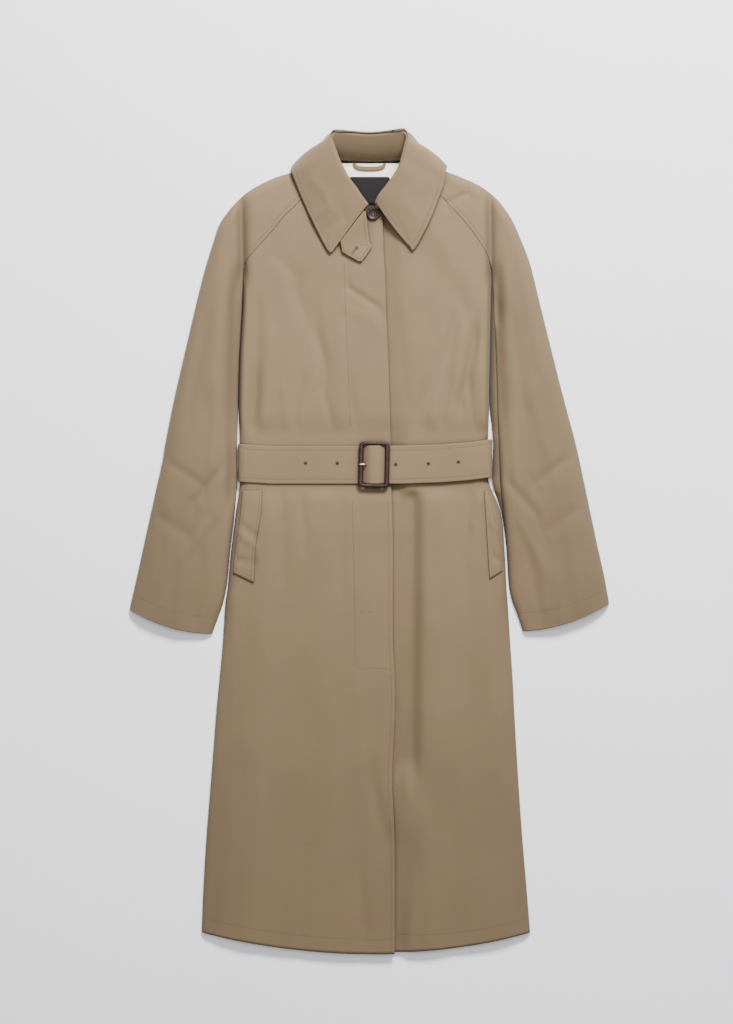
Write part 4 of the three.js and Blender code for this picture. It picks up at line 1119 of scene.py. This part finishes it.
for points, faces in buckle_parts:
    points = np.asarray(points, float)
    placed.append((np.stack([
        BUCKLE["x"] + points[:, 0] * cos - points[:, 1] * sin,
        BUCKLE["y"] + points[:, 0] * sin + points[:, 1] * cos, points[:, 2],
    ], 1), faces))
join_mesh("buckle_frame", placed, HORN, "dark_horn", "belt_buckle")
PRONG_PATH = [(-0.6, 15.7), (-2.8, 15.9), (-4.6, 18), (-6, 21), (-8.4, 23.4), (-15.2, 23.5)]
prong_line = smooth_line(PRONG_PATH, 8)
prong_points = [(x, BUCKLE["y"] + 0.3, z) for x, z in prong_line]
join_mesh("prong_rod", [tube(prong_points, PRONG / 2, 20)], METAL, "pale_metal", "buckle_prong")

# Neck button: a dished disc with a rim, four holes painted as dark discs of shade, and its thread
BUTTON = {"x": 5.5, "y": 491.5, "z": 17.8, "across": 19, "thick": 2.6}
BUTTON_PROFILE = [
    (0.02, 0), (0.8, 0), (0.94, 0.1), (1, 0.35), (1, 0.7), (0.96, 0.92), (0.88, 1), (0.78, 0.99), (0.68, 0.92),
    (0.6, 0.75), (0.52, 0.64), (0.3, 0.6), (0.02, 0.6),
]
turns = np.linspace(0, 2 * math.pi, 48, endpoint=False)
profile = np.array([
    [(BUTTON["x"] + q * BUTTON["across"] / 2 * math.cos(t), BUTTON["y"] + q * BUTTON["across"] / 2 * math.sin(t),
      BUTTON["z"] + h * BUTTON["thick"]) for q, h in BUTTON_PROFILE] for t in turns
])
join_mesh("button_disc", [rings(profile, closed=True)], HORN, "dark_horn", "neck_button")
dish = BUTTON["z"] + 0.6 * BUTTON["thick"]
HOLE_OFF = 1.7
corners = [
    (BUTTON["x"] + a * HOLE_OFF, BUTTON["y"] + b * HOLE_OFF) for a, b in ((-1, -1), (1, 1), (-1, 1), (1, -1))
]
# The four holes are dark discs: painted shade
join_mesh("button_hole_shade", [disc(x, y, dish + 0.03, 1.7, 0.12) for x, y in corners], PAINTED_HOLE_SHADE, "dark_horn")
threads = [
    one_stitch(np.array([*corners[n], dish + 0.05]), np.array([*corners[n + 1], dish + 0.05]), UP,
               0.9, 0.6, 0.05)
    for n in (0, 2)
]
join_mesh("button_thread", threads, THREAD, "coat_cloth")

# Floor, light and camera
FLOOR_HALF = 6
FLOOR_Z = -0.0004
corners = [(a * FLOOR_HALF, b * FLOOR_HALF, FLOOR_Z) for a, b in ((-1, -1), (1, -1), (1, 1), (-1, 1))]
floor_mesh = bpy.data.meshes.new("floor")
floor_mesh.from_pydata(corners, [], [(0, 1, 2, 3)])
floor = in_scene("floor", floor_mesh)
FLOOR = speckled("floor_paint", (0.93, 0.93, 0.965), (0.945, 0.945, 0.98), 3, 0.9, bump=0.0)
floor_mesh.materials.append(FLOOR)


def area_light(name, place, size, power):
    """A rectangle of light that faces the middle of the coat."""
    light = bpy.data.lights.new(name, "AREA")
    light.shape = "RECTANGLE"
    light.size, light.size_y = size
    light.energy = power
    lamp = in_scene(name, light)
    lamp.location = place
    lamp.rotation_euler = (-Vector(place)).to_track_quat("-Z", "Y").to_euler()


area_light("key", (0.7, 2.6, 2.1), (1.1, 0.9), 290)
area_light("sky", (0, 0.3, 3.4), (2.4, 2.4), 60)
world = bpy.data.worlds.new("studio")
world.use_nodes = True
background = world.node_tree.nodes["Background"]
background.inputs["Color"].default_value = (0.95, 0.96, 1.0, 1)
background.inputs["Strength"].default_value = 0.40
bpy.context.scene.world = world

CAMERA = {"place": (-0.0044, 0.0459, 5.0), "sensor": 36, "frame_height": 1024 * 1.5 * MM}
camera_data = bpy.data.cameras.new("camera")
camera_data.sensor_fit = "VERTICAL"
camera_data.sensor_height = CAMERA["sensor"]
camera_data.lens = CAMERA["sensor"] * CAMERA["place"][2] / CAMERA["frame_height"]
camera = in_scene("camera", camera_data)
camera.location = CAMERA["place"]
bpy.context.scene.camera = camera
